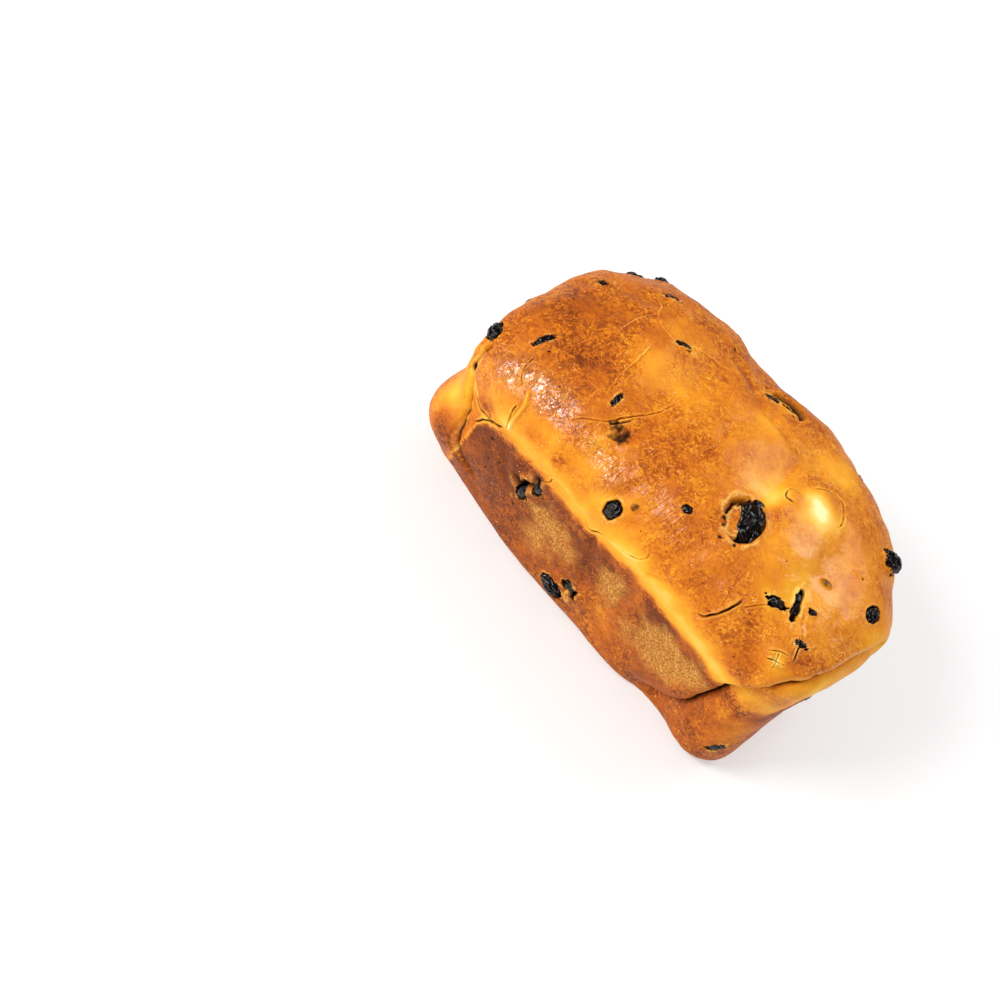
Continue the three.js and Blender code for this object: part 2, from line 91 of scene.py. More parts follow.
class Noise:
    """Gradient noise in space: random slopes on a cubic lattice, blended by the fade 6t5 - 15t4 + 10t3."""

    TABLE = 4096
    HASH = np.array([73856093, 19349663, 83492791])
    SPAN = 1.7  # brings the values to about -1 to 1
    LAYER_SHIFT = 31.7  # mm, keeps the layers' lattices apart

    def __init__(self, seed: int) -> None:
        """Draws the lattice's slopes from a seeded generator."""
        self.slopes = unit(np.random.default_rng(seed).normal(size=(self.TABLE, 3)))

    def __call__(self, points: Array, size: float) -> Array:
        """Noise at points.

        Args:
            points: places in mm, one to a row.
            size: edge of a lattice cell in mm.

        Returns:
            Values between about -1 and 1.
        """
        scaled = points / size
        cell = np.floor(scaled).astype(np.int64)
        inside = scaled - cell
        fade = inside ** 3 * (inside * (inside * 6.0 - 15.0) + 10.0)
        total = np.zeros(len(points))
        for corner in product((0, 1), repeat=3):
            step = np.array(corner)
            slopes = self.slopes[((cell + step) @ self.HASH) % self.TABLE]
            weight = np.prod(np.where(step == 1, fade, 1.0 - fade), axis=1)
            total += weight * dot(slopes, inside - step)
        return total * self.SPAN

    def layered(self, points: Array, size: float, layers: int) -> Array:
        """Sum of layers of noise, each half the size and half the strength of the one before."""
        return sum(self(points + self.LAYER_SHIFT * k, size / 2 ** k) / 2 ** k for k in range(layers))


# ------------------------------------------------------------------ the plain form

@dataclass(frozen=True)
class Swell:
    """A broad swell of the crust, or with a negative height a hollow: a Gaussian hump about a spot, in mm."""

    at: Spot
    reach: Spot
    height: float


SWELLS = (
    Swell((16, 50, 76), (32, 26, 24), 12.3),  # right flank, spilled over the rim
    Swell((56, 46, 76), (24, 24, 24), 5.5),
    Swell((-36, 48, 78), (20, 24, 24), 6.2),
    Swell((-64, 46, 78), (13, 18, 20), 2.6),
    Swell((-88, -42, 25), (18, 24, 19), 13.0),  # coil end at the far corner
    Swell((-90, 4, 76), (22, 30, 22), 1.4),  # dome over the far end
    Swell((92, 4, 74), (22, 34, 22), 3.6),  # dome over the near end
    Swell((92, 36, 72), (20, 16, 22), -6.5),
    Swell((-90, 42, 80), (16, 18, 24), -4.6),
    Swell((82, -38, 10), (16, 18, 26), 6.5),  # coil end at the near corner
    Swell((54, -42, 4), (10, 12, 18), -4.0),  # notch in the base at the near seam
    Swell((-64, -46, 4), (22, 14, 20), -5.0),
    Swell((-26, 16, 98), (9, 44, 26), -2.4),  # valleys between the dough's turns
    Swell((24, 10, 98), (8, 40, 24), -1.6),
    Swell((62, -4, 92), (8, 34, 22), -1.6),
    Swell((-56, -4, 96), (18, 30, 22), 1.6),
    Swell((44, -6, 96), (12, 26, 22), 1.2),
    Swell((4, 44, 90), (5, 5, 6), 2.6),  # torn flap beside the slit
    Swell((6, -43, 22), (5, 6, 7), 1.6),  # bulge by the lowest raisin
    Swell((32, 7, 97), (3.5, 3.5, 5), 1.3),  # blisters
    Swell((42, 16, 96), (7.5, 6.5, 6), 1.8),
    Swell((76, -35, 80), (5.5, 5.5, 5.5), 1.4),
    Swell((48, -42, 3), (8, 12, 9), -4.6),  # the notch's deepest part
)


@dataclass(frozen=True)
class LoafForm:
    """The loaf without its finer relief: walls from the tin, a free dome and a flat base, in mm."""

    base_half_length: float = 84.5
    base_half_width: float = 41.5
    wall_taper: float = 0.10
    rim_height: float = 64.0
    top_height: float = 98.0
    base_edge_radius: float = 8.0
    dome_overhang: float = 1.2
    end_spread: float = 0.085
    tin_squareness: float = 5.2
    crest_squareness: float = 2.8
    dome_rise: float = 0.9
    length_profile: tuple[float, float] = (3.0, 2.6)
    width_profile: tuple[float, float] = (2.1, 2.1)
    overhang_reach: float = 0.8
    rim_angle: float = math.radians(100)
    wall_foot_angle: float = math.radians(134)
    base_angle: float = math.radians(142)
    flat_foot: float = 9.0
    swells: tuple[Swell, ...] = SWELLS

    CUBIC_HUMP = 27 / 4  # brings the greatest of t(1 - t)^2 to one
    NORMAL_STEP = 2e-3  # radians
    STEEP = 0.9  # upward share of a direction past which it counts as straight up
    SEAT_STEPS = 40
    SEAT_GAIN = 0.4

    def outline(self, polar: Array) -> tuple[Array, Array, Array]:
        """Half length, half width and height of the outline at a polar angle from straight up.

        The dome is a superellipse of the rise, the wall leans out evenly, the base's edge is a quarter round
        and the base itself shrinks flat to its middle.

        Args:
            polar: angles in radians.

        Returns:
            Half lengths, half widths and heights in mm.
        """
        rise = np.cos(np.clip(polar / self.rim_angle, 0, 1) * math.pi / 2) ** self.dome_rise
        over = rise / self.overhang_reach
        hump = np.where(over < 1, self.CUBIC_HUMP * over * (1 - over) ** 2 * self.dome_overhang, 0)
        rim = self.wall_taper * self.rim_height + hump
        along = np.clip(1 - rise ** self.length_profile[0], 0, 1) ** (1 / self.length_profile[1])
        across = np.clip(1 - rise ** self.width_profile[0], 0, 1) ** (1 / self.width_profile[1])
        down = (polar - self.rim_angle) / (self.wall_foot_angle - self.rim_angle)
        wall_height = mix(self.rim_height, self.base_edge_radius, down)
        turn = (polar - self.wall_foot_angle) / (self.base_angle - self.wall_foot_angle) * math.pi / 2
        foot_lean = self.wall_taper * self.base_edge_radius
        inset = foot_lean - self.base_edge_radius * (1 - np.cos(turn))
        share = (math.pi - polar) / (math.pi - self.base_angle)
        stretch = [polar <= self.rim_angle, polar <= self.wall_foot_angle, polar <= self.base_angle]
        flat = foot_lean - self.base_edge_radius
        half_length = np.select(stretch, [
            (self.base_half_length + rim) * along,
            self.base_half_length + self.wall_taper * wall_height,
            self.base_half_length + inset,
        ], (self.base_half_length + flat) * share)
        half_width = np.select(stretch, [
            (self.base_half_width + rim) * across,
            self.base_half_width + self.wall_taper * wall_height,
            self.base_half_width + inset,
        ], (self.base_half_width + flat) * share)
        height = np.select(stretch, [
            mix(self.rim_height, self.top_height, rise),
            wall_height,
            self.base_edge_radius * (1 - np.sin(turn)),
        ], 0.0)
        return half_length, half_width, height

    def plain(self, directions: Array) -> Array:
        """Points of the plain form: a superellipse in plan at each height.

        Args:
            directions: unit vectors from the form's middle.

        Returns:
            Places in mm.
        """
        half_length, half_width, height = self.outline(np.arccos(np.clip(directions[:, 2], -1, 1)))
        azimuth = np.arctan2(directions[:, 1], directions[:, 0])
        c, s = np.cos(azimuth), np.sin(azimuth)
        dome_share = smooth_step((height - self.rim_height) / (self.top_height - self.rim_height))
        power = mix(self.tin_squareness, self.crest_squareness, dome_share)
        radius = (np.abs(c) ** power + np.abs(s) ** power) ** (-1 / power)
        x = half_length * radius * c
        spread = 1 - self.end_spread * x / self.base_half_length
        return np.stack([x, half_width * radius * s * spread, height], axis=1)

    def normals(self, directions: Array) -> Array:
        """Outward normals of the plain form, from differences between points a short turn apart.

        Args:
            directions: unit vectors from the form's middle.

        Returns:
            Unit normals.
        """
        level = np.abs(directions[:, 2:]) < self.STEEP
        helper = np.where(level, np.array([[0.0, 0.0, 1.0]]), np.array([[1.0, 0.0, 0.0]]))
        across = unit(np.cross(helper, directions))
        up = np.cross(directions, across)

        def difference(axis: Array) -> Array:
            """Step of the surface for a small turn of the direction along an axis."""
            ahead = self.plain(unit(directions + axis * self.NORMAL_STEP))
            return ahead - self.plain(unit(directions - axis * self.NORMAL_STEP))

        return unit(np.cross(difference(across), difference(up)))

    def lift(self, points: Array, normals: Array, height: Array) -> Array:
        """Points moved out along normals by a height, the flat base held at its own level.

        Args:
            points: places in mm.
            normals: unit vectors.
            height: how far each point moves, in mm.

        Returns:
            The moved places.
        """
        foot = smooth_step(points[:, 2] / self.flat_foot)
        moved = points + normals * height[:, None]
        moved[:, 2] = np.maximum(0.0, points[:, 2] + normals[:, 2] * height * foot)
        return moved

    def swollen(self, directions: Array) -> tuple[Array, Array]:
        """Points of the form with its swells, each a Gaussian along the plain form's normals.

        Args:
            directions: unit vectors from the form's middle.

        Returns:
            Places in mm, and the plain form's normals there.
        """
        points = self.plain(directions)
        normals = self.normals(directions)
        height = sum(s.height * bell(points, s.at, s.reach) for s in self.swells)
        return self.lift(points, normals, height), normals

    def seat(self, spots: Array) -> tuple[Array, Array]:
        """Nearest places on the swollen form to the given spots, by repeated correction of the direction.

        Args:
            spots: places in mm, one to a row.

        Returns:
            Places on the form and its normals there.
        """
        scale = 1 / np.array([self.base_half_length, self.base_half_width, self.rim_height])
        directions = unit((spots - np.array([0, 0, self.rim_height])) * scale)
        points, normals = self.swollen(directions)
        for _ in range(self.SEAT_STEPS):
            directions = unit(directions + (spots - points) * scale * self.SEAT_GAIN)
            points, normals = self.swollen(directions)
        return points, normals


# ------------------------------------------------------------------ lines and openings in the crust

class CrustLine:
    """A line that runs on the crust through given spots, as evenly spaced samples with tangents."""

    STEP = 0.45  # between samples, mm
    FEWEST_STEPS = 8
    CURVE_STEPS = 24  # between two spots, before the samples are spaced evenly
    CENTRIPETAL = 0.5  # power of the distance in the knots' times
    STRAY_SIZE = 5.0  # mm
    STRAY_LAYERS = 2
    FADE_SHARE = 1 / 7  # of a line's length over which it fades in
    FADE_MOST = 6.0  # mm

    def __init__(self, form: LoafForm, spots: tuple[Spot, ...], wander: float, seed: int) -> None:
        """Samples a centripetal Catmull-Rom curve through the spots and lets it wander, as a tear does.

        Args:
            form: the loaf that the line lies on.
            spots: places that it passes, in mm.
            wander: how far it strays to either side, in mm.
            seed: of the straying.
        """
        curve = self.curve(np.array(spots, float))
        lengths = np.concatenate([[0], np.cumsum(np.linalg.norm(np.diff(curve, axis=0), axis=1))])
        count = max(self.FEWEST_STEPS, round(lengths[-1] / self.STEP))
        at = np.linspace(0, lengths[-1], count + 1)
        even = np.stack([np.interp(at, lengths, curve[:, k]) for k in range(3)], axis=1)
        points, normals = form.seat(even)
        tangents = unit(np.gradient(points, axis=0))
        self.stray = Noise(seed).layered(points, self.STRAY_SIZE, self.STRAY_LAYERS)
        self.points = points + np.cross(normals, tangents) * (self.stray * wander)[:, None]
        self.tangents = unit(np.gradient(self.points, axis=0))
        self.share = np.linspace(0, 1, count + 1)
        self.length = lengths[-1]

    @classmethod
    def curve(cls, spots: Array) -> Array:
        """Dense centripetal Catmull-Rom curve: each stretch blends three straight runs by knot time.

        Args:
            spots: places that the curve passes, in mm.

        Returns:
            Places along the curve.
        """
        ends = [2 * spots[0] - spots[1], *spots, 2 * spots[-1] - spots[-2]]
        dense = []
        for a, b, c, d in zip(ends, ends[1:], ends[2:], ends[3:]):
            hops = [np.linalg.norm(q - p) ** cls.CENTRIPETAL for p, q in ((a, b), (b, c), (c, d))]
            knots = np.concatenate([[0], np.cumsum(hops)])
            t = np.linspace(knots[1], knots[2], cls.CURVE_STEPS)[:, None]

            def run(p: Array, q: Array, start: float, end: float) -> Array:
                """Straight blend between two points over a stretch of knot time."""
                return ((end - t) * p + (t - start) * q) / (end - start)

            ab, bc, cd = run(a, b, *knots[0:2]), run(b, c, *knots[1:3]), run(c, d, *knots[2:4])
            abc, bcd = run(ab, bc, knots[0], knots[2]), run(bc, cd, knots[1], knots[3])
            dense.append(run(abc, bcd, *knots[1:3])[:-1])
        return np.concatenate([*dense, spots[-1:]])

    def near(self, points: Array, reach: float) -> tuple[Array, Array, Array]:
        """Finds the points close to the line.

        Args:
            points: places in mm.
            reach: how far from the line counts, in mm.

        Returns:
            Indices of the points within reach, their distances, and the index of the nearest sample of each.
        """
        low, high = self.points.min(0) - reach, self.points.max(0) + reach
        inside = np.flatnonzero(np.all((points > low) & (points < high), axis=1))
        if len(inside) == 0:
            return inside, np.zeros(0), np.zeros(0, int)
        squared = (
            np.sum(points[inside] ** 2, axis=1)[:, None]
            + np.sum(self.points ** 2, axis=1)[None, :]
            - 2 * points[inside] @ self.points.T
        )
        nearest = np.argmin(squared, axis=1)
        distance = np.linalg.norm(points[inside] - self.points[nearest], axis=1)
        close = distance < reach
        return inside[close], distance[close], nearest[close]

    def strength(self, nearest: Array) -> Array:
        """Full along the middle of the line, fading smoothly to nought at its two ends.

        Args:
            nearest: numbers of samples on the line.

        Returns:
            Shares from 0 to 1.
        """
        share = self.share[nearest]
        fade = min(self.FADE_SHARE, self.FADE_MOST / self.length)
        return smooth_step(share / fade) * smooth_step((1 - share) / fade)


@dataclass
class Fields:
    """Relief and looks at the crust's vertices: height in mm, and shares from 0 to 1 for the finish."""

    height: Array
    bake: Array  # how brown, from cream to dark brown
    tin: Array  # matte where the tin touched
    gloss: Array  # smooth wet-looking glaze
    crackle: Array  # glaze with a net of fine cracks
    crease: Array  # skin drawn into fine creases across the loaf
    # painted shade inside cracks, crevices and holes, and raisin skin that shows dark through the crust
    pit: Array  # dark inside of cracks and hollows
    crumb: Array  # torn, unglazed crumb

    LOOKS = ("bake", "tin", "gloss", "crackle", "crease", "pit", "crumb")

    @classmethod
    def start(cls, count: int) -> "Fields":
        """Fields of nought for a count of vertices."""
        return cls(*(np.zeros(count) for _ in range(1 + len(cls.LOOKS))))

    def press(self, name: str, index: Array, value: Array) -> None:
        """Raises a field at the indexed vertices to a value where it is lower."""
        values = getattr(self, name)
        values[index] = np.maximum(values[index], value)


@dataclass(frozen=True)
class Seam:
    """A seam where a turn of dough laps over the next.

    A rounded roll on the line's left comes down to a crevice with painted shade in it, and the dough on the right
    comes up steeply out of it.
    """

    spots: tuple[Spot, ...]
    lip: float
    lip_reach: float
    drop: float
    drop_reach: float
    step: float = 4.6  # width of the roll, mm
    groove: float = 2.0  # depth of the crevice
    groove_width: float = 0.75
    gap_at: float = 0.5  # share of the line where the crevice gapes most
    gap_reach: float = 0.3
    gap_least: float = 0.35

    FINE_EDGE = 0.55  # edge of the mesh along the seam, mm
    REACHES = 3.0  # fall-off lengths over which the relief is worked out
    FOOT = 0.5  # the crevice's middle lies this far to the right of the line
    GROOVE_REACH = 5  # groove widths over which the crevice is worked out
    # painted shade in the crevice's middle
    CREVICE_SHADE = 1.1  # of the crevice's middle
    BACK_AT = 0.45  # the roll's pale back: its place and width as shares of the step
    BACK_WIDTH = 0.3
    BACK_PALE = 0.15

    def mark(self, line: CrustLine, points: Array, normals: Array, fields: Fields) -> None:
        """Adds the roll, drop and crevice: exponentials of the distance, joined by a smooth step.

        Args:
            line: the seam's line on the form.
            points: places of the crust's vertices, in mm.
            normals: the plain form's normals there.
            fields: relief and looks that it adds to.
        """
        index, distance, nearest = line.near(points, self.REACHES * max(self.lip_reach, self.drop_reach))
        left = np.cross(normals[index], line.tangents[nearest])
        offset = dot(points[index] - line.points[nearest], left) + self.FOOT
        fade = line.strength(nearest)
        open_here = np.exp(-(((line.share[nearest] - self.gap_at) / self.gap_reach) ** 2))
        gap = fade * mix(self.gap_least, 1.0, open_here)
        lip = self.lip * np.exp(-distance / self.lip_reach)
        drop = -self.drop * np.exp(-distance / self.drop_reach)
        over = smooth_step(offset / self.step)
        groove = np.exp(-((offset / self.groove_width) ** 2))
        groove *= distance < self.GROOVE_REACH * self.groove_width
        fields.height[index] += mix(drop, lip, over) * fade - self.groove * groove * gap
        # painted shade in the crevice, strongest where it gapes
        fields.press("pit", index, self.CREVICE_SHADE * groove * gap)
        from_back = (offset - self.BACK_AT * self.step) / (self.BACK_WIDTH * self.step)
        roll = np.exp(-(from_back ** 2)) * (distance < 2 * self.step)
        fields.bake[index] -= self.BACK_PALE * roll * gap


class CrackKind(Enum):
    """The kinds of crack in the crust."""

    # The black inside of an open slit and the dark middle of a hairline are painted shade.
    OPEN = "open slit, black inside with pale torn lips"
    FINE = "hairline with a thin dark middle"
    SCAR = "healed tear, a thin pale ridge"
    FOLD = "soft fold of the skin, not open"


OPEN, FINE, SCAR, FOLD = CrackKind.OPEN, CrackKind.FINE, CrackKind.SCAR, CrackKind.FOLD


@dataclass(frozen=True)
class CrackLook:
    """What a kind of crack does along its middle and along the lips beside it: shares of its depth for the relief,
    and amounts for the looks."""

    middle_height: float
    lip_height: float
    middle_bake: float
    lip_bake: float
    # painted shade along the middle of open and hairline cracks
    painted_shade: float = 0.0
    lip_crumb: float = 0.0
    middle_gloss: float = 0.0


CRACK_LOOKS = {
    OPEN: CrackLook(-1.0, 0.26, 0.0, -0.20, painted_shade=1.25, lip_crumb=0.5),
    FINE: CrackLook(-1.0, 0.26, 0.0, -0.20, painted_shade=1.0, lip_crumb=0.2),
    SCAR: CrackLook(0.7, -0.35, -0.30, 0.08, middle_gloss=0.5),
    FOLD: CrackLook(-1.0, 0.3, 0.06, -0.04),
}


@dataclass(frozen=True)
class Crack:
    """A crack in the crust: a rounded groove between slightly raised lips, or the ridge healed over one."""

    spots: tuple[Spot, ...]
    depth: float
    half_width: float
    kind: CrackKind = FINE
    wander: float = 0.5

    NOISE = Noise(13)
    REACHES = 6  # half widths over which the relief is worked out
    LIP_AT = 2.0  # half widths from the middle
    LIP_WIDTH = 0.8  # half widths
    COARSEST_EDGE = 1.0  # of the mesh along the crack, mm
    EDGE_SHARE = 0.65  # of the half width, which sets that edge
    EDGE_LEAST = 0.09
    UNEVEN = (0.75, 0.35)  # strength: its level, and how far the line's straying moves it
    DASH_SIZE = 2.2  # mm, of the breaks in a hairline's darkness
    DASH_LEAST = 0.45

    @property
    def fine_edge(self) -> float:
        """Edge of the mesh along the crack, in mm."""
        return min(self.COARSEST_EDGE, self.EDGE_SHARE * self.half_width + self.EDGE_LEAST)

    def mark(self, line: CrustLine, points: Array, fields: Fields) -> None:
        """Adds the groove and lips: Gaussians of the distance, the lips as a ring outside the groove.

        Args:
            line: the crack's line on the form.
            points: places of the crust's vertices, in mm.
            fields: relief and looks that it adds to.
        """
        look = CRACK_LOOKS[self.kind]
        index, distance, nearest = line.near(points, self.REACHES * self.half_width + 1.0)
        fade = line.strength(nearest) * (self.UNEVEN[0] + self.UNEVEN[1] * line.stray[nearest])
        groove = np.exp(-((distance / self.half_width) ** 2)) * fade
        from_lip = (distance - self.LIP_AT * self.half_width) / (self.LIP_WIDTH * self.half_width)
        ring = np.exp(-(from_lip ** 2)) * fade
        fields.height[index] += look.middle_height * self.depth * groove + look.lip_height * self.depth * ring
        fields.bake[index] += look.middle_bake * groove + look.lip_bake * ring
        if self.kind is SCAR:
            fields.press("gloss", index, look.middle_gloss * groove)
        if self.kind in (OPEN, FINE):
            # painted shade along the middle, broken into dashes on a hairline
            breaks = smooth_step(0.6 + 1.4 * self.NOISE(points[index], self.DASH_SIZE))
            dashes = look.painted_shade if self.kind is OPEN else mix(self.DASH_LEAST, 1.0, breaks)
            fields.press("pit", index, dashes * groove)
            fields.press("crumb", index, look.lip_crumb * ring)


SEAMS = (
    Seam(((49, -36, 1), (53, -37, 7), (55.6, -37.6, 17.8), (59.2, -38.2, 27.8), (63.2, -39.6, 37.4),
          (66.9, -40, 46.6), (69.5, -40.6, 55), (73, -38.8, 61), (78, -38, 68), (83.5, -34.4, 74),
          (87, -28.6, 76.4), (90, -17, 78.4), (91.5, -4, 78.4), (92, 7, 76.6), (91.5, 17, 73)), 2.0, 6, 3.4,
         7, gap_at=0.44, gap_reach=0.3),
    Seam(((-63, -42, 8), (-66, -44, 20), (-67.8, -45.7, 30), (-69.9, -46.2, 38.7), (-72.5, -46, 45),
          (-75.5, -46, 50), (-78.5, -45, 53.5), (-81, -43.3, 57), (-83, -41.3, 62), (-83.2, -41, 70),
          (-86, -37, 77)), 1.4, 5, 1.6, 4, step=3.0, groove=1.8, groove_width=0.6, gap_at=0.7,
         gap_reach=0.35, gap_least=0.5),
    Seam(((84, 36, 74), (76, 42, 60), (72, 42, 42), (68, 40, 22), (66, 38, 8)), 1.6, 6, 2.8, 6),
    Seam(((-8, 38.4, 91.5), (-4, 40.4, 91), (0.6, 41.2, 91.2), (5, 40.8, 91.8), (10, 38.6, 92.4)), 1.8, 4,
         1.0, 3, step=1.8, groove=3.2, groove_width=1.5, gap_at=0.55, gap_reach=0.5, gap_least=0.5),
    Seam(((-60, 49, 8), (-66, 51, 26), (-72, 52, 44), (-80, 50, 62), (-86, 40, 76)), 1.6, 6, 2.6, 6),
)

CRACKS = (
    # the crescent on the near shoulder, and the thin tear that runs on from it
    Crack(((43, -44, 74), (45.5, -44, 74.5), (48, -41, 78), (50, -37, 82), (51, -33, 86)), 2.2, 0.42, OPEN,
          0.3),
    Crack(((53.4, -35.2, 84.2), (55.4, -31.4, 86.2), (57.6, -27.4, 87.6)), 1.0, 0.30),
    # round the far coil
    Crack(((-84, -39.6, 73), (-82.6, -42, 68), (-83.2, -40.8, 61), (-81, -43.6, 58)), 1.4, 0.6, OPEN, 0.3),
    Crack(((-81, -43.6, 58), (-76.5, -46.5, 57), (-72.8, -47.3, 56), (-69, -47.6, 55), (-65, -48.1, 56.5),
           (-59.5, -48.5, 58.5), (-56.2, -49.6, 61.5)), 1.4, 0.62, OPEN, 0.5),
    Crack(((-69, -47.5, 46), (-67, -47.8, 50.5), (-64.6, -48.1, 54), (-60.4, -48.4, 57.4)), 1.6, 0.42, OPEN,
          0.5),
    Crack(((-56.2, -49.6, 61.5), (-56.3, -50.1, 68), (-57.4, -48, 75.5)), 0.9, 0.30),
    Crack(((-54.6, -49.6, 62), (-54.8, -50.1, 69), (-55.8, -48, 76), (-60, -43, 81.5)), 1.2, 0.7, SCAR,
          0.3),
    Crack(((-86.4, -37, 73), (-85.2, -39, 66), (-85.4, -38.4, 60), (-82.5, -42, 55.5)), 1.6, 0.8, SCAR,
          0.3),
    Crack(((-82, -42.6, 72), (-80.6, -44.2, 67), (-81, -43.6, 62), (-77.5, -46.3, 59.5), (-72, -47.5, 58.5)),
           0.3, 0.7, SCAR, 0.3),
    Crack(((-77, -46, 53), (-73.5, -46.5, 47.5), (-70.8, -46.6, 40), (-68.6, -46, 31), (-67, -44.6, 21)),
          0.9, 0.7, SCAR, 0.3),
    # wall
    Crack(((-6, -48, 60), (0, -47, 50), (1, -45, 38), (4, -44, 28)), 1.3, 2.0, FOLD, 0.9),
    Crack(((-52, -49, 56), (-50, -48, 44), (-46, -48, 34)), 0.8, 1.8, FOLD, 0.9),
    Crack(((22, -47, 56), (20, -46, 44), (24, -45, 30)), 0.8, 1.8, FOLD, 0.9),
    Crack(((-43.8, -48, 46.4), (-41.4, -48, 43.6), (-39.1, -48, 42.4), (-37.3, -48, 46.6),
           (-34.6, -48.5, 49.6), (-34.3, -48.7, 53.5), (-35.6, -48.9, 57.6)), 3.2, 1.5, OPEN, 0.8),
    Crack(((-44, -48, 51), (-42, -48, 53), (-41, -48.5, 56)), 0.8, 0.5, FOLD, 0.6),
    Crack(((-32, -48.5, 47), (-28.6, -48.5, 50), (-26, -48.5, 54)), 0.8, 0.4, FINE, 0.6),
    Crack(((-33, -49, 57), (-30.5, -49.3, 60), (-29.5, -49.6, 64)), 0.8, 0.35, FINE, 0.6),
    # tear on the near end of the dome
    Crack(((61.2, -12.6, 91), (63.7, -16.4, 90), (66, -19.4, 89), (68.4, -22, 88)), 2.0, 0.75, OPEN, 0.6),
    Crack(((59.6, -14, 91), (61.8, -17.6, 90), (63.6, -20.4, 89)), 1.2, 0.9, SCAR, 0.5),
    Crack(((67, -18, 88), (72, -22, 87), (75.5, -24, 85), (78, -25.5, 84.5)), 0.9, 0.5, FOLD, 0.6),
    Crack(((75, -25, 85.5), (78, -29, 83), (80, -31, 82)), 0.8, 0.3, OPEN, 0.5),
    Crack(((71, -36, 81), (75, -33, 82.5), (78, -31, 82.5)), 0.6, 0.28),
    Crack(((73, -38, 79), (76.5, -36, 80.5), (80, -34, 80.5)), 0.6, 0.28),
    Crack(((74, -33.5, 82.5), (75.5, -35.5, 81), (77.5, -38, 78)), 0.5, 0.26),
    # the long dashed crack across the far half, its open middle and the scars that leave it
    Crack(((-40, -42, 83), (-38, -38, 86), (-31, -32, 90), (-27, -24, 93), (-23, -15, 95), (-22, -3, 97)),
          0.9, 0.32),
    Crack(((-29, -32, 88), (-27, -28, 91), (-26, -25, 93)), 1.2, 0.36, OPEN),
    Crack(((-76, 23, 87), (-73, 11, 90)), 0.5, 0.3, SCAR),
    Crack(((-71, 22, 89), (-61, 24, 92), (-53, 14, 95), (-42, 13, 96), (-33, 23, 94), (-20, 29, 93)), 0.6,
          0.34, SCAR),
    Crack(((-57, 15, 95), (-58, 2, 95), (-57, -7, 96)), 0.6, 0.34, SCAR),
    Crack(((-46, 2, 97), (-44, -9, 97), (-42, -20, 95), (-39, -27, 92)), 0.8, 0.38, SCAR),
    Crack(((-68, -34, 85), (-66, -41, 81), (-62, -45, 79)), 0.6, 0.3),
    # along the golden band
    Crack(((-40, -49.6, 62), (-36, -49.5, 63), (-30, -49.6, 65), (-25, -49, 63), (-18, -48.5, 61),
           (-13, -48, 60.5)), 0.7, 0.28),
    Crack(((-33, -50, 67), (-25, -49, 67), (-16, -49, 67)), 0.6, 0.28),
    Crack(((-9, -48, 60.5), (-6, -48, 60), (-3, -48, 63), (-0.5, -48, 64.7)), 1.4, 0.42, OPEN, 0.5),
    Crack(((-1, -48, 65), (7, -48, 67), (13.5, -47.6, 69.6), (16.6, -46.4, 73.5), (16, -44.7, 77)), 1.0,
          0.34),
    Crack(((20, -47, 68), (26, -47, 71), (31, -45, 75)), 0.6, 0.8, FOLD),
    # slow folds of the dome
    Crack(((-24, -44, 80), (-22, -34, 89), (-20, -16, 95)), 0.9, 2.2, FOLD, 1.2),
    Crack(((-6, -46, 76), (-4, -32, 89), (0, -16, 95), (-2, 6, 98)), 0.7, 2.0, FOLD, 1.2),
    Crack(((20, -30, 90), (24, -12, 96), (26, 6, 98), (20, 24, 96)), 0.6, 1.8, FOLD, 1.2),
    Crack(((-30, 40, 90), (-12, 30, 94), (8, 24, 96), (26, 26, 95)), 0.8, 2.0, FOLD, 1.2),
    Crack(((-70, 4, 92), (-56, 12, 94), (-50, 28, 91)), 0.7, 1.8, FOLD, 1.2),
    Crack(((66, 14, 91), (73, 2, 90), (78, -12, 87)), 0.35, 2.4, FOLD, 0.4),
    # right flank: two slits side by side, and blister rims
    Crack(((-9, 33.6, 91.8), (-4.5, 33.4, 92.2), (2, 34.4, 92.7), (7.6, 35.6, 93)), 0.8, 0.32, FINE, 0.2),
    Crack(((9, 39.6, 92.2), (8.2, 38, 92.6), (7.6, 36, 93)), 1.0, 0.4, OPEN, 0.2),
    Crack(((38, 39, 92), (44, 41, 90)), 0.6, 0.26),
    Crack(((33.5, 16.6, 97), (37, 23, 96), (42, 25.5, 95), (48, 22, 95), (51, 14, 95.6)), 0.7, 0.4, FINE,
          0.6),
    Crack(((34, 10, 98), (29, 8.4, 97), (30, 3.8, 97), (35, 4.5, 97.6)), 0.7, 0.4, FINE, 0.2),
)


class Opening(Enum):
    """How the crust lies round a raisin."""

    # The dark of the gap, the cave and the torn floor is painted shade, with dark scraps of skin on a torn floor.
    CLOSED = "the crust meets the raisin, with a thin dark gap"
    VEILED = "a thin skin of crust lies over it, and it shows through as a dark smudge"
    TORN = "a ragged hole with a floor of torn crumb"
    CAVE = "a deep dark hole that the raisin lies in"


@dataclass(frozen=True)
class RaisinSpot:
    """A raisin on the crust, in mm: the ends of its long axis, its width and height, how far its middle lies
    below the crust and the depth of the hollow round it; then what the opening in the crust looks like."""

    ends: tuple[Spot, Spot]
    width: float
    height: float
    sink: float
    hollow: float
    opening: Opening = Opening.CLOSED
    mouth: tuple[float, float] = (0.0, 0.0)  # half length and half width of the hole
    shift: tuple[float, float] = (0.0, 0.0)  # of the hole along and across
    ragged: float = 0.2  # share by which its rim strays
    slope: float = 0.3  # width of the rim's slope


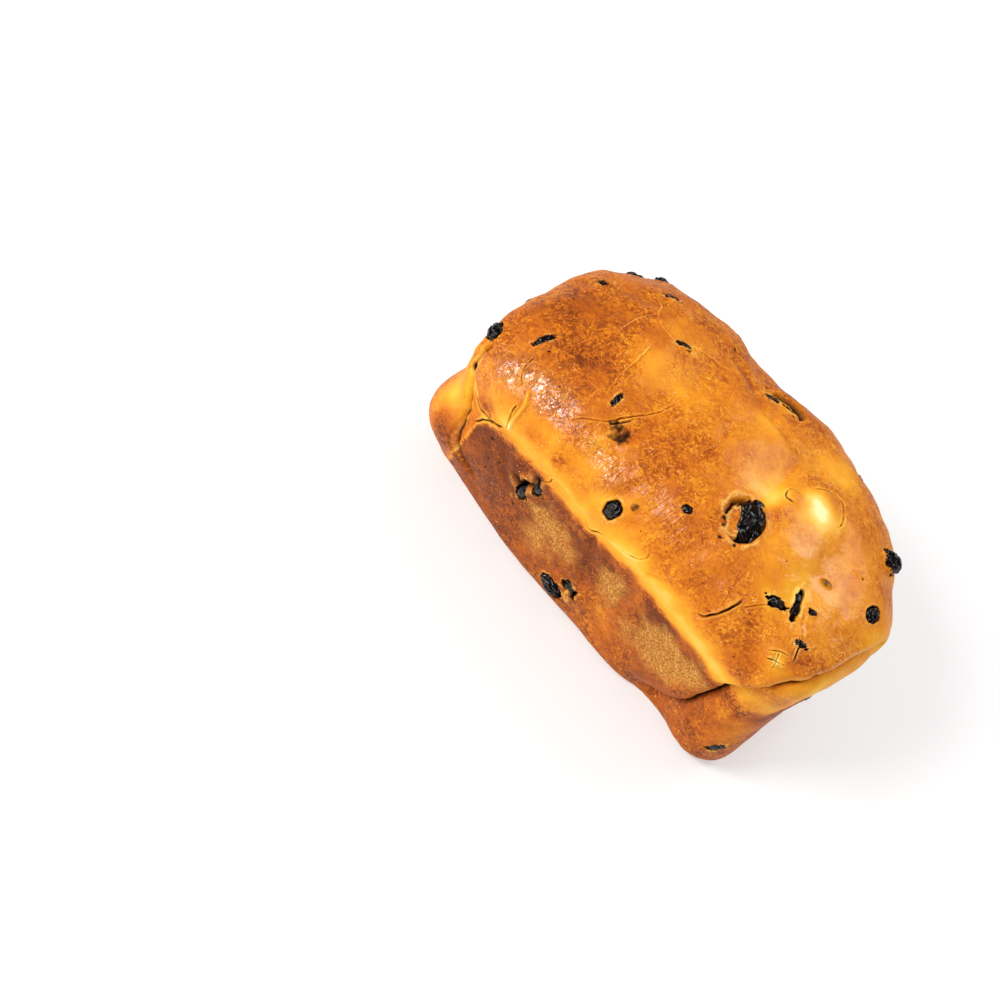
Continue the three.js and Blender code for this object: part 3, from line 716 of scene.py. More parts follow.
VEILED, TORN, CAVE = Opening.VEILED, Opening.TORN, Opening.CAVE
SHOWN_RAISINS = (
    RaisinSpot(((24.4, -7.4, 97), (36.6, -21.6, 94)), 13.0, 9.0, 2.0, 3.0, TORN, (9.2, 7.6), (0.8, -2.8),
               0.12, 0.7),
    RaisinSpot(((10, -31, 90), (16, -30, 91)), 4.5, 4.0, 1.6, 0),
    RaisinSpot(((65, 33, 86), (73, 35, 79)), 9.0, 9.0, 0.2, 0),
    RaisinSpot(((80, 4, 85), (80, 13, 84)), 7.0, 6.0, 2.4, 2.4, CAVE, (4.0, 3.0), (-0.4, 1.0), 0.16),
    RaisinSpot(((57, -26, 89), (63, -24, 89)), 5.0, 5.0, 1.4, 1.4, CAVE, (3.6, 1.8), (0, 0), 0.5),
    RaisinSpot(((62, -15, 92), (68, -23, 88)), 5.0, 5.0, 2.6, 2.0, CAVE, (5.2, 1.3), (0.6, 0), 0.3),
    RaisinSpot(((69, -16, 90), (72, -15, 89)), 3.6, 4.0, 1.2, 0, CAVE, (1.3, 0.9), (-0.7, 0), 0.3),
    RaisinSpot(((62, -5, 93), (68, -2, 91)), 4.6, 4.2, 1.6, 0, VEILED),
    RaisinSpot(((74, -27, 86), (79, -24, 84)), 4.0, 4.0, 1.4, 0, CAVE, (1.9, 0.9), (0, 0), 0.5),
    RaisinSpot(((-8, 34, 92), (0, 36, 92)), 5.0, 5.0, 2.2, 1.0, CAVE, (2.4, 1.0), (-1.2, -0.6), 0.1),
    RaisinSpot(((3, 36, 92), (8, 36, 92)), 4.4, 4.4, 2.0, 1.0, CAVE, (2.2, 1.0), (-4.2, 0.2), 0.1),
    RaisinSpot(((-61, 27, 87), (-54, 32, 89)), 6.0, 5.0, 1.2, 0, CAVE, (3.0, 1.3), (0, 0.5), 0.35),
    RaisinSpot(((-83, 34, 75), (-77, 41, 76)), 6.0, 5.0, 0.8, 0),
    RaisinSpot(((-72, 42, 77), (-66, 48, 74)), 6.0, 5.0, 0.8, 0),
    RaisinSpot(((-78, 9, 84), (-73, 13, 86)), 5.0, 4.4, 1.4, 0, CAVE, (2.2, 1.6), (0, 0), 0.6),
    RaisinSpot(((-43, 12, 96), (-36, 17, 96)), 5.0, 4.6, 1.6, 0, CAVE, (3.0, 1.0), (0, 0.3), 0.35),
    RaisinSpot(((-35, -28, 92), (-36, -22, 94)), 3.8, 4.0, 1.4, 0, CAVE, (2.6, 0.9), (0, 0), 0.3),
    RaisinSpot(((-28, -32, 90), (-22, -32, 90)), 6.5, 5.0, 2.6, 1.4, VEILED, (4.2, 3.4), (0, 0), 0.35),
    RaisinSpot(((-88, -28, 73), (-83, -37, 75)), 8.0, 7.0, 1.6, 0),
    RaisinSpot(((-71, -31, 84), (-68, -23, 87)), 6.0, 5.0, 1.8, 1.6, CAVE, (3.3, 1.1), (0, -0.6), 0.35),
    RaisinSpot(((-38, -48, 34), (-38, -48, 42)), 5.6, 5.4, 2.2, 1.6, CAVE, (3.6, 2.4), (0.6, 0), 0.35),
    RaisinSpot(((-34, -49, 46), (-32, -49, 53)), 5.6, 5.4, 2.2, 1.6, CAVE, (3.4, 2.3), (0, 0), 0.35),
    RaisinSpot(((-5, -50, 73), (-4, -45, 80)), 7.0, 6.0, 1.8, 1.4, CAVE, (3.8, 3.0), (-0.1, 0.3), 0.13,
               0.45),
    RaisinSpot(((-1, -45, 81), (1, -41, 84)), 4.4, 4.2, 1.6, 0, VEILED),
    RaisinSpot(((-12, -43, 12), (-1, -43, 11)), 8.0, 7.0, 0.8, 1.4, CAVE, (6.0, 4.2), (0, 0), 0.3),
    RaisinSpot(((-3, -43, 20), (4, -44, 23)), 5.6, 5.4, 2.4, 2.4, CAVE, (4.4, 3.2), (0, 0), 0.3),
    RaisinSpot(((80, -38, 16), (86, -35, 22)), 5.0, 4.6, 1.6, 1.4, CAVE, (3.4, 1.6), (0, 0), 0.3),
)


@dataclass(frozen=True)
class HiddenRaisins:
    """Raisins on the sides that the photo doesn't show: turns round +Z from +X, degrees above the rim's plane
    and length in mm, with width, height and sink as shares of the length."""

    spots: tuple[tuple[float, float, float], ...] = (
        (0.14, -22, 9.0), (0.19, 6, 11.0), (0.22, -34, 7.0), (0.26, -12, 8.5), (0.31, 14, 7.5),
        (0.34, -28, 10.0), (0.39, -6, 8.0), (0.47, -26, 9.0), (0.53, 4, 7.0), (0.96, -18, 8.0),
        (0.03, -30, 9.5),
    )
    width: float = 0.68
    height: float = 0.6
    sink: float = 0.16
    turn: float = 2.4  # radians from each one's long axis to the next's

    def make(self, form: LoafForm) -> tuple[RaisinSpot, ...]:
        """Lays each long axis in the crust, turned from the one before.

        Args:
            form: the loaf that they lie on.

        Returns:
            The hidden raisins as spots.
        """
        turns, rises, lengths = np.array(self.spots).T
        azimuth, rise = turns * 2 * math.pi, np.radians(rises)
        out = np.cos(rise)
        directions = np.stack([np.cos(azimuth) * out, np.sin(azimuth) * out, np.sin(rise)], axis=1)
        points, normals = form.swollen(directions)
        level = unit(np.cross(np.array([0.0, 0.0, 1.0]), normals))
        angle = (np.arange(len(turns)) * self.turn)[:, None]
        axis = level * np.cos(angle) + np.cross(normals, level) * np.sin(angle)
        half = axis * lengths[:, None] / 2
        return tuple(
            RaisinSpot((tuple(a), tuple(b)), long * self.width, long * self.height, long * self.sink, 0)
            for a, b, long in zip(points - half, points + half, lengths)
        )


class RaisinBed:
    """The place of one raisin: its seat on the crust, its three axes, and the opening round it."""

    FINE_EDGE = 0.46  # edge of the mesh at the opening, mm
    SKIN = 0.25  # thickness of the crust that covers the rest of a raisin
    FOLD = 0.3  # share of its height that a raisin's folds may take away
    SEED = 500
    LEAST_SHOWN = 0.3  # share of a sunken raisin's width that still shows
    WAVE, RIPPLE, RIPPLE_SHARE = 0.9, 0.4, 0.6  # the rim's straying, as shares of the mouth's size
    SPREAD = 1.15  # the rim's farthest place as a share of its oval, before it strays
    NEAR = 6.0  # mm round the raisin that it may mark
    # Where the smudge under thin skin starts to fade, and over how much, as rim shares.
    VEIL_EDGE = (0.8, 0.5)
    VEIL_LIFT = 0.10
    VEIL_DARK = (0.60, 0.3)  # its level, and how far noise moves it
    VEIL_GRAIN = 1.8  # mm
    PATCH_SIZE = 4.0  # mm, of the torn parts of the lip
    SCRAP_SIZE = 3.0  # mm, of the bits of skin left in a torn hollow
    # a torn hollow's floor: painted shade, least and most, the most where dark scraps of skin lie
    SCRAP_DARK = (0.2, 0.95)
    LIP_LIFT = 0.25
    LIP_CRUMB, FLOOR_CRUMB = 0.85, 0.7
    LIP_PALE = 0.14
    CLOSED_DEPTH = 0.8  # of the gap round a raisin that the crust meets, mm
    CAVE_EXTRA = 1.8  # mm below the hollow's own depth

    def __init__(self, form: LoafForm, spot: RaisinSpot, number: int) -> None:
        """Seats the raisin's middle on the crust and lays its long axis in it.

        Args:
            form: the loaf.
            spot: the raisin.
            number: of its solid.
        """
        self.spot = spot
        self.number = number
        ends = np.array(spot.ends, float)
        seats, normals = form.seat(ends.mean(0)[None, :])
        self.seat, self.normal = seats[0], normals[0]
        axis = ends[1] - ends[0]
        self.length = float(np.linalg.norm(axis))
        self.axis = unit(axis - dot(axis, self.normal) * self.normal)
        self.side = np.cross(self.normal, self.axis)
        self.centre = self.seat - self.normal * spot.sink
        self.noise = Noise(self.SEED + number)
        shown = math.sqrt(max(self.LEAST_SHOWN ** 2, 1 - (2 * spot.sink / spot.height) ** 2))
        closed = spot.opening is Opening.CLOSED or not any(spot.mouth)
        self.mouth = (shown * self.length / 2, shown * spot.width / 2) if closed else spot.mouth

    @property
    def node(self) -> str:
        """Name of the solid that the raisin stands for."""
        return f"raisin_{self.number:02d}"

    def plan(self, points: Array) -> tuple[Array, Array]:
        """Places of points along and across the raisin, in mm from its seat."""
        away = points - self.seat
        return dot(away, self.axis), dot(away, self.side)

    def oval_share(self, points: Array) -> Array:
        """Distance from the hole's middle as a share of its smooth oval.

        Args:
            points: places in mm.

        Returns:
            Shares, one on the oval.
        """
        along, across = self.plan(points)
        shift_along, shift_across = self.spot.shift
        return np.hypot((along - shift_along) / self.mouth[0], (across - shift_across) / self.mouth[1])

    def rim_share(self, points: Array) -> Array:
        """Distance from the hole's middle as a share of its ragged rim: the oval's, times one and a noise.

        Args:
            points: places in mm.

        Returns:
            Shares, one on the rim.
        """
        size = math.sqrt(self.mouth[0] * self.mouth[1])
        ripple = self.RIPPLE_SHARE * self.noise(points, self.RIPPLE * size)
        stray = self.noise(points, self.WAVE * size) + ripple
        return self.oval_share(points) * (1 + self.spot.ragged * stray)

    def clearance(self, points: Array) -> Array:
        """Distance in mm beyond the hole's rim, nought on it and inside it.

        Args:
            points: places in mm.

        Returns:
            Distances in mm.
        """
        out = np.abs(dot(points - self.seat, self.normal))
        beyond = self.oval_share(points) - (self.SPREAD + self.spot.ragged)
        return np.hypot(np.maximum(0, beyond) * min(self.mouth), np.maximum(0, out - self.NEAR))

    def veil(self, near: Array, place: Array, rim: Array, cover: Array, fields: Fields) -> None:
        """Darkens the thin skin that lies over a raisin, and lifts it a little.

        Args:
            near: numbers of the vertices by the raisin.
            place: their places in mm.
            rim: their distances as shares of the rim.
            cover: height of the skin over the raisin, in mm.
            fields: relief and looks that it adds to.
        """
        start, width = self.VEIL_EDGE
        veil = 1 - smooth_step((rim - start) / width)
        fields.height[near] = np.maximum(fields.height[near] + self.VEIL_LIFT * veil, cover)
        level, change = self.VEIL_DARK
        fields.press("pit", near, (level + change * self.noise(place, self.VEIL_GRAIN)) * veil)

    def mark(self, points: Array, fields: Fields) -> None:
        """Adds the hole with its torn rim, its floor kept under the raisin, painted shade in them, and crumb.

        Args:
            points: places of the crust's vertices, in mm.
            fields: relief and looks that it adds to.
        """
        spot = self.spot
        reach = self.length + spot.width + self.NEAR
        near = np.flatnonzero(np.linalg.norm(points - self.seat, axis=1) < reach)
        place = points[near]
        along, across = self.plan(place)
        foot = np.hypot(along / (self.length / 2), across / (spot.width / 2))
        rim = self.rim_share(place)
        cover = self.SKIN - spot.sink + spot.height / 2 * np.sqrt(np.clip(1 - foot ** 2, 0, 1))
        cover = np.where(foot < 1, cover, -np.inf)
        if spot.opening is Opening.VEILED:
            self.veil(near, place, rim, cover, fields)
            return
        torn = spot.opening is Opening.TORN
        edge = spot.slope / min(self.mouth)
        inside = 1 - smooth_step((rim - 1 + edge) / (2 * edge))
        shade = 1 - smooth_step((rim - 1) / (2 * edge))
        patchy = smooth_step(0.5 + 1.6 * self.noise(place + 20, self.PATCH_SIZE))
        lip = np.exp(-(((rim - 1 - 2.2 * edge) / edge) ** 2))
        under = (spot.sink + self.FOLD * spot.height / 2) * (1 - smooth_step((foot - 0.85) / 0.3))
        deep = {
            Opening.CLOSED: self.CLOSED_DEPTH,
            Opening.TORN: spot.hollow,
            Opening.CAVE: spot.hollow + self.CAVE_EXTRA,
        }[spot.opening]
        crust = np.maximum(fields.height[near] + self.LIP_LIFT * lip, cover)
        fields.height[near] = crust - np.maximum(deep, under + crust) * inside
        # Painted shade: over a cave or a closed gap whole; on a torn floor patchy with dark scraps, darkest under
        # the raisin.
        socket = 1 - smooth_step((foot - 0.95) / 0.25)
        scraps = smooth_step(0.50 + 1.7 * self.noise(place + 40, self.SCRAP_SIZE))
        floor = np.maximum(mix(*self.SCRAP_DARK, scraps), socket) * inside
        fields.press("pit", near, floor if torn else shade)
        if spot.opening is not Opening.CLOSED:
            torn_floor = self.FLOOR_CRUMB * inside * torn * patchy
            fields.press("crumb", near, np.maximum(self.LIP_CRUMB * patchy * lip, torn_floor))
        fields.bake[near] -= self.LIP_PALE * lip * patchy


@dataclass(frozen=True)
class Flake:
    """A flake of crust left over a torn hollow: a ragged ellipse brought back up to a level of its own."""

    at: Spot
    toward: Spot  # where its long axis points
    half: tuple[float, float]
    level: float
    bake: float
    seed: int

    EDGE = 0.3  # width of its edge's slope, mm
    WAVE, RIPPLE = (0.22, 3.0), (0.14, 1.2)  # the outline's straying: share, and size in mm
    WARP, WARP_SIZE = 0.25, 2.0  # mm

    def mark(self, form: LoafForm, points: Array, fields: Fields) -> None:
        """Lifts the floor to the flake's level inside its outline, with a thin pale edge.

        Args:
            form: the loaf.
            points: places of the crust's vertices, in mm.
            fields: relief and looks that it changes.
        """
        seats, normals = form.seat(np.array([self.at, self.toward], float))
        axis = unit(seats[1] - seats[0])
        side = np.cross(normals[0], axis)
        near = np.flatnonzero(np.linalg.norm(points - seats[0], axis=1) < 2 * max(self.half))
        away = points[near] - seats[0]
        noise = Noise(self.seed)
        (wave, wave_size), (ripple, ripple_size) = self.WAVE, self.RIPPLE
        stray = 1 + wave * noise(away, wave_size) + ripple * noise(away, ripple_size)
        share = np.hypot(dot(away, axis) / self.half[0], dot(away, side) / self.half[1]) * stray
        edge = self.EDGE / min(self.half)
        inside = 1 - smooth_step((share - 1 + edge) / (2 * edge))
        rim = np.exp(-(((share - 1 + 1.5 * edge) / (1.4 * edge)) ** 2))
        height = self.level + self.WARP * noise(away, self.WARP_SIZE)
        fields.height[near] = mix(fields.height[near], height, inside)
        fields.pit[near] = mix(fields.pit[near], 0.0, inside)
        fields.crumb[near] = mix(fields.crumb[near], rim, inside)
        fields.bake[near] = mix(fields.bake[near], self.bake, inside)


FLAKES = (
    Flake((27.0, -19.6, 94), (32, -26, 92), (6.8, 3.3), 0.15, 0.62, 81),  # over the big raisin's crater
    Flake((1.4, -43.8, 15.5), (3, -43.5, 8), (4.6, 1.5), 0.6, 0.60, 82),  # between the two lowest raisins
)


# ------------------------------------------------------------------ browning

@dataclass(frozen=True)
class Tone:
    """A browner place on the crust, or with a negative amount a paler one: a Gaussian about a spot, in mm."""

    at: Spot
    reach: Spot
    amount: float


TONES = (
    Tone((-60, -49, 72), (9, 12, 11), -0.22), Tone((-75, -45, 74), (8, 10, 8), -0.05),
    Tone((-41, -48, 73), (12, 10, 9), -0.22), Tone((-21, -45, 79), (8, 8, 5), -0.14),
    Tone((3, -47, 73), (15, 10, 8), -0.16), Tone((16, -47, 70), (12, 10, 8), -0.10),
    Tone((31, -47, 66), (12, 10, 8), -0.14), Tone((54, -45, 62), (13, 10, 8), -0.20),
    Tone((-41, -5, 97), (9, 9, 20), -0.24), Tone((13, 25, 96), (17, 8, 20), -0.10),
    Tone((-10, 18, 96), (12, 8, 20), -0.08), Tone((25, 2, 97), (6, 7, 20), -0.30),
    Tone((4, 22, 96), (6, 6, 20), -0.14), Tone((53, -24, 91), (8, 8, 20), -0.10),
    Tone((92, 0, 80), (8, 14, 6), -0.10), Tone((-79, -48, 34), (7, 8, 8), 0.22),
    Tone((42, -11, 97), (7, 9, 20), -0.16), Tone((41.8, 11.4, 97), (8.4, 7.4, 8), -0.68),
    Tone((32, 7, 98), (3.5, 3.5, 6), 0.06), Tone((76, -35, 81), (4, 4, 6), -0.24),
    Tone((84, -34, 69), (8, 8, 6), -0.10), Tone((84, -37, 34), (11, 8, 16), -0.14),
    Tone((-70, -2, 92), (18, 22, 20), 0.12), Tone((-52, -20, 94), (14, 12, 20), 0.08),
    Tone((-79, -14, 88), (10, 16, 12), 0.10), Tone((-11, -25, 94), (14, 12, 20), 0.06),
    Tone((0, -44, 43), (9, 8, 10), 0.10), Tone((-30, -46, 37), (12, 8, 12), 0.06),
    Tone((81, -29, 83), (3, 3, 3), 0.30), Tone((16, -44, 24), (12, 8, 10), -0.20),
    Tone((57, -34, 84), (5, 5, 5), 0.10), Tone((70, -43, 71), (6, 6, 5), 0.08),
    Tone((70, -6, 90), (20, 26, 16), -0.18), Tone((60, -16, 90), (8, 8, 8), -0.12),
    Tone((36, 34, 93), (10, 8, 8), -0.20), Tone((90, 8, 80), (10, 16, 8), -0.12),
    Tone((20, 0, 97), (8, 6, 12), -0.08), Tone((66, -38, 40), (9, 8, 10), -0.12),
    Tone((-84, -44, 43), (8, 8, 12), -0.20), Tone((-62, -48, 46), (8, 6, 5), 0.10),
    Tone((-46, -48, 42), (14, 8, 14), 0.10), Tone((-59, -45, 78), (8, 8, 6), 0.10),
    Tone((-27, -38, 86), (5, 5, 5), -0.20), Tone((-24, -2, 96), (8, 7, 8), -0.18),
    Tone((-42, 21, 95), (8, 8, 8), -0.12), Tone((13, -44, 32), (9, 8, 8), -0.10),
    Tone((47, -43, 33), (12, 8, 7), -0.16), Tone((-32, -49, 73), (2.4, 3, 2), 0.26),
    Tone((76, -36, 80.5), (5.5, 5.0, 4), -0.10), Tone((-63, -48, 58), (8, 5, 4), 0.34),
    Tone((-77, -47, 26), (7, 7, 7), 0.30), Tone((-84, -44, 44), (12, 12, 20), -0.16),
    Tone((-40, -50, 70), (9, 5, 5), 0.22), Tone((-15, -49, 71), (8, 6, 5), -0.14),
    Tone((53, -42, 34), (7, 6, 7), -0.20), Tone((35.5, -45, 54), (6, 5, 5), 0.12),
    Tone((76, -37.5, 42), (5, 5, 6), -0.24), Tone((81, -36, 52.5), (5, 5, 5), 0.12),
    Tone((88, -27, 72), (8, 8, 7), -0.24), Tone((56, 12, 94), (12, 10, 10), -0.10),
    Tone((20, -3, 97), (8, 8, 8), -0.10), Tone((-7, 22, 96), (9, 8, 8), 0.08),
    Tone((-4, 45, 88), (6, 5, 5), 0.16), Tone((60.5, -18, 90), (2.8, 2.8, 4), -0.08),
    Tone((86, -32, 30), (8, 8, 10), -0.10), Tone((0, 37.6, 92), (8, 1.5, 6), -0.16),
    Tone((60, 40, 84), (18, 14, 12), -0.10), Tone((-39.5, -48, 51), (3, 4, 3), -0.16),
    Tone((-19, 4, 97), (14, 12, 10), -0.10), Tone((5, 7, 98), (10, 9, 8), -0.12),
    Tone((30, 36, 92), (12, 10, 9), -0.14), Tone((-58, -26, 91), (8, 8, 8), 0.12),
    Tone((39, -44, 75), (5, 5, 5), -0.14), Tone((35, -45, 52), (6, 5, 5), 0.14),
    Tone((56.6, -26, 88), (3, 3, 4), -0.20), Tone((-15, -34, 88.5), (5, 8, 6), -0.10),
    Tone((16, -9, 97), (6, 6, 6), -0.12), Tone((28, -1, 97), (6, 6, 6), -0.16),
    Tone((24, 14, 96), (7, 6, 6), -0.12), Tone((54, -10, 94), (10, 9, 8), -0.08),
    Tone((44, -28, 90), (7, 6, 6), 0.08), Tone((18, -46, 75), (7, 5, 4), 0.10),
    # The second tone here is a painted shadow: it browns the foot of the wall's far half, as a second loaf leaning
    # there shades it.
    Tone((-81, -30, 82), (6, 8, 6), 0.10), Tone((-48, -42, 8), (38, 10, 13), 0.12),
    Tone((84, -33, 25), (12, 10, 18), -0.09), Tone((-10, -47, 74), (5, 5, 4), -0.12),
    Tone((90, -16, 72), (8, 14, 6), -0.06), Tone((69, -43, 70), (7, 6, 5), 0.14),
    Tone((-57, -48, 74), (7, 5, 5), 0.10), Tone((-22, -45, 25), (9, 8, 7), -0.10),
    Tone((-5.7, -43, 79.5), (6, 6, 5), -0.12), Tone((24.6, -46, 54.5), (7, 6, 5), -0.14),
    Tone((58, -26, 87), (5, 5, 5), -0.09), Tone((-52, -47, 34), (16, 8, 14), 0.07),
)

TIN_PATCHES = (
    Tone((-20, -46, 40), (12, 8, 9), 1.2), Tone((-5, -45, 37), (5, 8, 6), 0.5),
    Tone((13, -46, 45), (7, 8, 10), 1.1), Tone((45, -44, 44), (14, 8, 9), 1.2),
    Tone((47, -43, 33), (9, 8, 8), 1.0), Tone((58, -43, 46), (6, 8, 7), 0.8),
    Tone((-84, -47, 20), (10, 10, 8), 0.5), Tone((28, -45, 30), (8, 8, 8), 0.5),
    Tone((-22, -45, 25), (9, 8, 7), 0.7),
)

CRACKLES = (
    Tone((-68, -42, 80), (10, 7, 8), 1.0), Tone((-52, -41, 84), (9, 6, 7), 1.0),
    Tone((-30, -40, 84), (5, 4, 5), 0.9), Tone((-13, -39, 85), (8, 6, 7), 0.8),
    Tone((76, -35, 81), (4.5, 4.5, 5), 0.9),
)

GLOSSES = (
    Tone((-73, -43, 78), (8, 7, 8), 1.0), Tone((-60, -42, 82), (9, 6, 7), 0.9),
    Tone((-49, -40, 84.5), (8, 6, 7), 1.0), Tone((-29, -39.5, 85), (4, 4, 4), 0.8),
    Tone((-18, -41.5, 83), (9, 6, 6), 0.75), Tone((3, -37, 87), (8, 6, 8), 0.25),
    Tone((16, -33, 89), (9, 6, 8), 0.25), Tone((22, -12, 96), (8, 8, 8), 0.35),
    Tone((8, 12, 97), (18, 10, 12), 0.2), Tone((56, -8, 93), (18, 22, 12), 0.75),
    Tone((82, -14, 84), (14, 20, 9), 0.75), Tone((18, -2, 97), (10, 8, 8), 0.3),
)

CREASES = (
    Tone((-8, -41, 83), (20, 9, 10), 1.0), Tone((12, -36, 87), (10, 8, 8), 0.6),
    Tone((18, 8, 97), (20, 16, 10), 0.25), Tone((-60, 16, 94), (24, 18, 10), 0.4),
    Tone((-30, -46, 74), (16, 8, 8), 0.3), Tone((20, 30, 94), (22, 12, 10), 0.3),
)

# Dark specks of raisin skin that show through the crust: places and radii in mm.
SPECKS = (
    (-71, -27, 87, 0.7), (-66, -30, 87, 0.8), (-62, -24, 90, 0.5), (-52, -36, 86, 0.5), (-30, 40, 90, 0.7),
    (-60, -49, 49, 0.9), (-52, -48, 42, 0.6), (-49, -48, 46, 0.5), (-57, -48, 38, 0.6), (-33, -49, 57, 0.5),
    (-58, -48, 30, 0.5), (-40, -48, 28, 0.8), (-20, -46, 28, 0.5), (70, 12, 90, 0.6),
    (23.3, -22, 93.5, 1.1), (25.5, -24, 92.6, 0.9), (28.3, -27.7, 91.2, 1.0), (34, -26, 92.2, 0.8),
    (38, -40, 82, 0.4), (20, -42, 80, 0.4), (45, -41, 77, 0.4), (8, -43, 78, 0.4), (62, -41, 72, 0.4),
    (50, -14, 95, 0.4), (-10, 38, 91, 0.8),
)


# Where the tin's rim marked the shown side: places along the loaf and heights of the mark in mm.
RIM_MARK = (
    (-95, -20), (-75, -12), (-70.5, 12), (-67.5, 46), (-64, 51), (-58, 55.5), (-48, 57.5), (-38, 59),
    (-28, 60), (-17, 58), (-8, 55.5), (0, 58), (8, 60), (15, 61.5), (27, 60.5), (36, 59.5), (44, 58),
    (55, 57), (65, 56), (76, 50), (90, 46),
)


@dataclass(frozen=True)
class Browning:
    """How brown the crust is: the dome, a pale band above the tin's rim, and the wall the tin touched."""

    form: LoafForm
    dome: float = 0.64
    band: float = 0.28  # paler by this much just above the rim
    band_height: float = 70.0
    band_reach: float = 6.6
    wall: float = 0.84
    foot: float = 0.07  # paler by this much near the base
    rim_blur: float = 2.2
    wavers: tuple[tuple[float, float], ...] = ((1.8, 14.0), (1.5, 6.0), (1.0, 3.0))  # heights, sizes
    unseen_waver: tuple[float, float] = (3.0, 26.0)
    under_rim: float = 0.08  # browner by this much just below the rim
    under_rim_at: float = 5.0  # mm below it, and its reach
    drift: float = 2.6  # mm that the tones' outlines stray
    drift_size: float = 9.0
    cloud: float = 0.05
    cloud_size: float = 22.0
    patch_grain: float = 0.30  # raggedness of the dull patches
    patch_size: float = 5.0
    base_dullness: float = 0.6

    def warped_height(self, points: Array, noise: Noise) -> Array:
        """Height above the tin's rim mark, which has its own line on the shown side and wavers everywhere.

        Args:
            points: places in mm.
            noise: what the wavering follows.

        Returns:
            Heights in mm, below nought on the wall.
        """
        waver = sum(height * noise(points, size) for height, size in self.wavers)
        along, mark = np.array(RIM_MARK, float).T
        shown = smooth_step((-points[:, 1] - 18) / 14)
        height, size = self.unseen_waver
        elsewhere = self.form.rim_height + height * noise(points + 60, size)
        return points[:, 2] - mix(elsewhere, np.interp(points[:, 0], along, mark), shown) - waver

    @staticmethod
    def cover(zones: tuple[Tone, ...], points: Array) -> Array:
        """Sum of the zones' Gaussians, at most one."""
        return np.clip(sum(zone.amount * bell(points, zone.at, zone.reach) for zone in zones), 0, 1)

    def dull_patches(self, points: Array, strayed: Array, noise: Noise) -> Array:
        """Where the tin kept the crust dull: placed on the shown side, left to noise on the others.

        Args:
            points: places in mm.
            strayed: the same places, drifted.
            noise: what the patches' edges follow.

        Returns:
            Shares from 0 to 1.
        """
        patches = sum(t.amount * bell(strayed, t.at, t.reach) for t in TIN_PATCHES)
        elsewhere = smooth_step(1.6 * noise.layered(points + 90, 34.0, 2) + 0.1)
        elsewhere *= np.exp(-(((points[:, 2] - 36) / 20) ** 2))
        patches = mix(elsewhere, patches, smooth_step((-28 - points[:, 1]) / 8))
        ragged = patches + self.patch_grain * noise.layered(points, self.patch_size, 3)
        return smooth_step((ragged - 0.2) / 0.7)

    def mark(self, points: Array, normals: Array, fields: Fields) -> None:
        """Adds the browning, the matte patches, the gloss, the crackled glaze and the creases.

        The dome's tone turns to the wall's over a blurred line. A Gaussian band above the line is paler, one
        below it browner, and the tones are added at places that drift with a noise.

        Args:
            points: places of the crust's vertices, in mm.
            normals: the plain form's normals there.
            fields: relief and looks that it adds to.
        """
        noise = Noise(11)
        level = self.warped_height(points, noise)
        above = smooth_step(level / (2 * self.rim_blur) + 0.5)
        upright = smooth_step((0.8 - normals[:, 2]) / 0.5)
        middle = self.band_height - self.form.rim_height
        band = self.band * upright * np.exp(-(((level - middle) / self.band_reach) ** 2))
        under_rim = self.under_rim * np.exp(-(((level + self.under_rim_at) / self.under_rim_at) ** 2))
        foot = self.foot * smooth_step((30 - points[:, 2]) / 22)
        fields.bake += mix(self.wall + under_rim - foot, self.dome - band, above)
        warp = np.stack([noise(points + k, self.drift_size) for k in (0.0, 40.0, 80.0)], axis=1)
        strayed = points + self.drift * warp
        for tone in TONES:
            fields.bake += tone.amount * bell(strayed, tone.at, tone.reach)
        fields.bake += self.cloud * noise.layered(points, self.cloud_size, 3)
        everywhere = np.arange(len(points))
        fields.press("tin", everywhere, self.dull_patches(points, strayed, noise) * (1 - above))
        fields.press("tin", everywhere, self.base_dullness * smooth_step((2.0 - points[:, 2]) / 2.0))
        for name, zones in (("crackle", CRACKLES), ("gloss", GLOSSES), ("crease", CREASES)):
            fields.press(name, everywhere, self.cover(zones, strayed) * above)

    @staticmethod
    def specks(seats: Array, points: Array, fields: Fields) -> None:
        """Darkens and slightly dents small specks: Gaussians of the distance, which a noise makes ragged.

        Args:
            seats: the specks' places on the form, in mm.
            points: places of the crust's vertices, in mm.
            fields: relief and looks that it adds to.
        """
        noise = Noise(12)
        for seat, (*_, radius) in zip(seats, SPECKS):
            distance = np.linalg.norm(points - seat, axis=1)
            near = np.flatnonzero(distance < 4 * radius)
            share = distance[near] / radius * (1 + 0.4 * noise(points[near], 1.0))
            dark = np.exp(-(share ** 2))
            fields.height[near] -= 0.4 * dark
            fields.press("pit", near, 0.9 * dark)


# ------------------------------------------------------------------ meshes

def make_object(name: str, vertices: Array, faces: Array, material: bpy.types.Material) -> bpy.types.Object:
    """Puts a mesh in the scene, smooth shaded, its object at the origin.

    Args:
        name: of the piece.
        vertices: places in mm, one to a row.
        faces: vertex numbers, three or four to a row.
        material: its finish.

    Returns:
        The new object, its vertices in metres.
    """
    mesh = bpy.data.meshes.new(name)
    corners = faces.shape[1]
    mesh.vertices.add(len(vertices))
    mesh.vertices.foreach_set("co", (vertices * MM).astype(np.float32).ravel())
    mesh.loops.add(faces.size)
    mesh.loops.foreach_set("vertex_index", faces.astype(np.int32).ravel())
    mesh.polygons.add(len(faces))
    mesh.polygons.foreach_set("loop_start", np.arange(0, faces.size, corners, dtype=np.int32))
    mesh.update(calc_edges=True)
    mesh.validate()
    mesh.polygons.foreach_set("use_smooth", np.ones(len(mesh.polygons), bool))
    mesh.materials.append(material)
    made = bpy.data.objects.new(name, mesh)
    bpy.context.scene.collection.objects.link(made)
    LOG.info("%s: %d vertices, %d faces", name, len(vertices), len(faces))
    return made


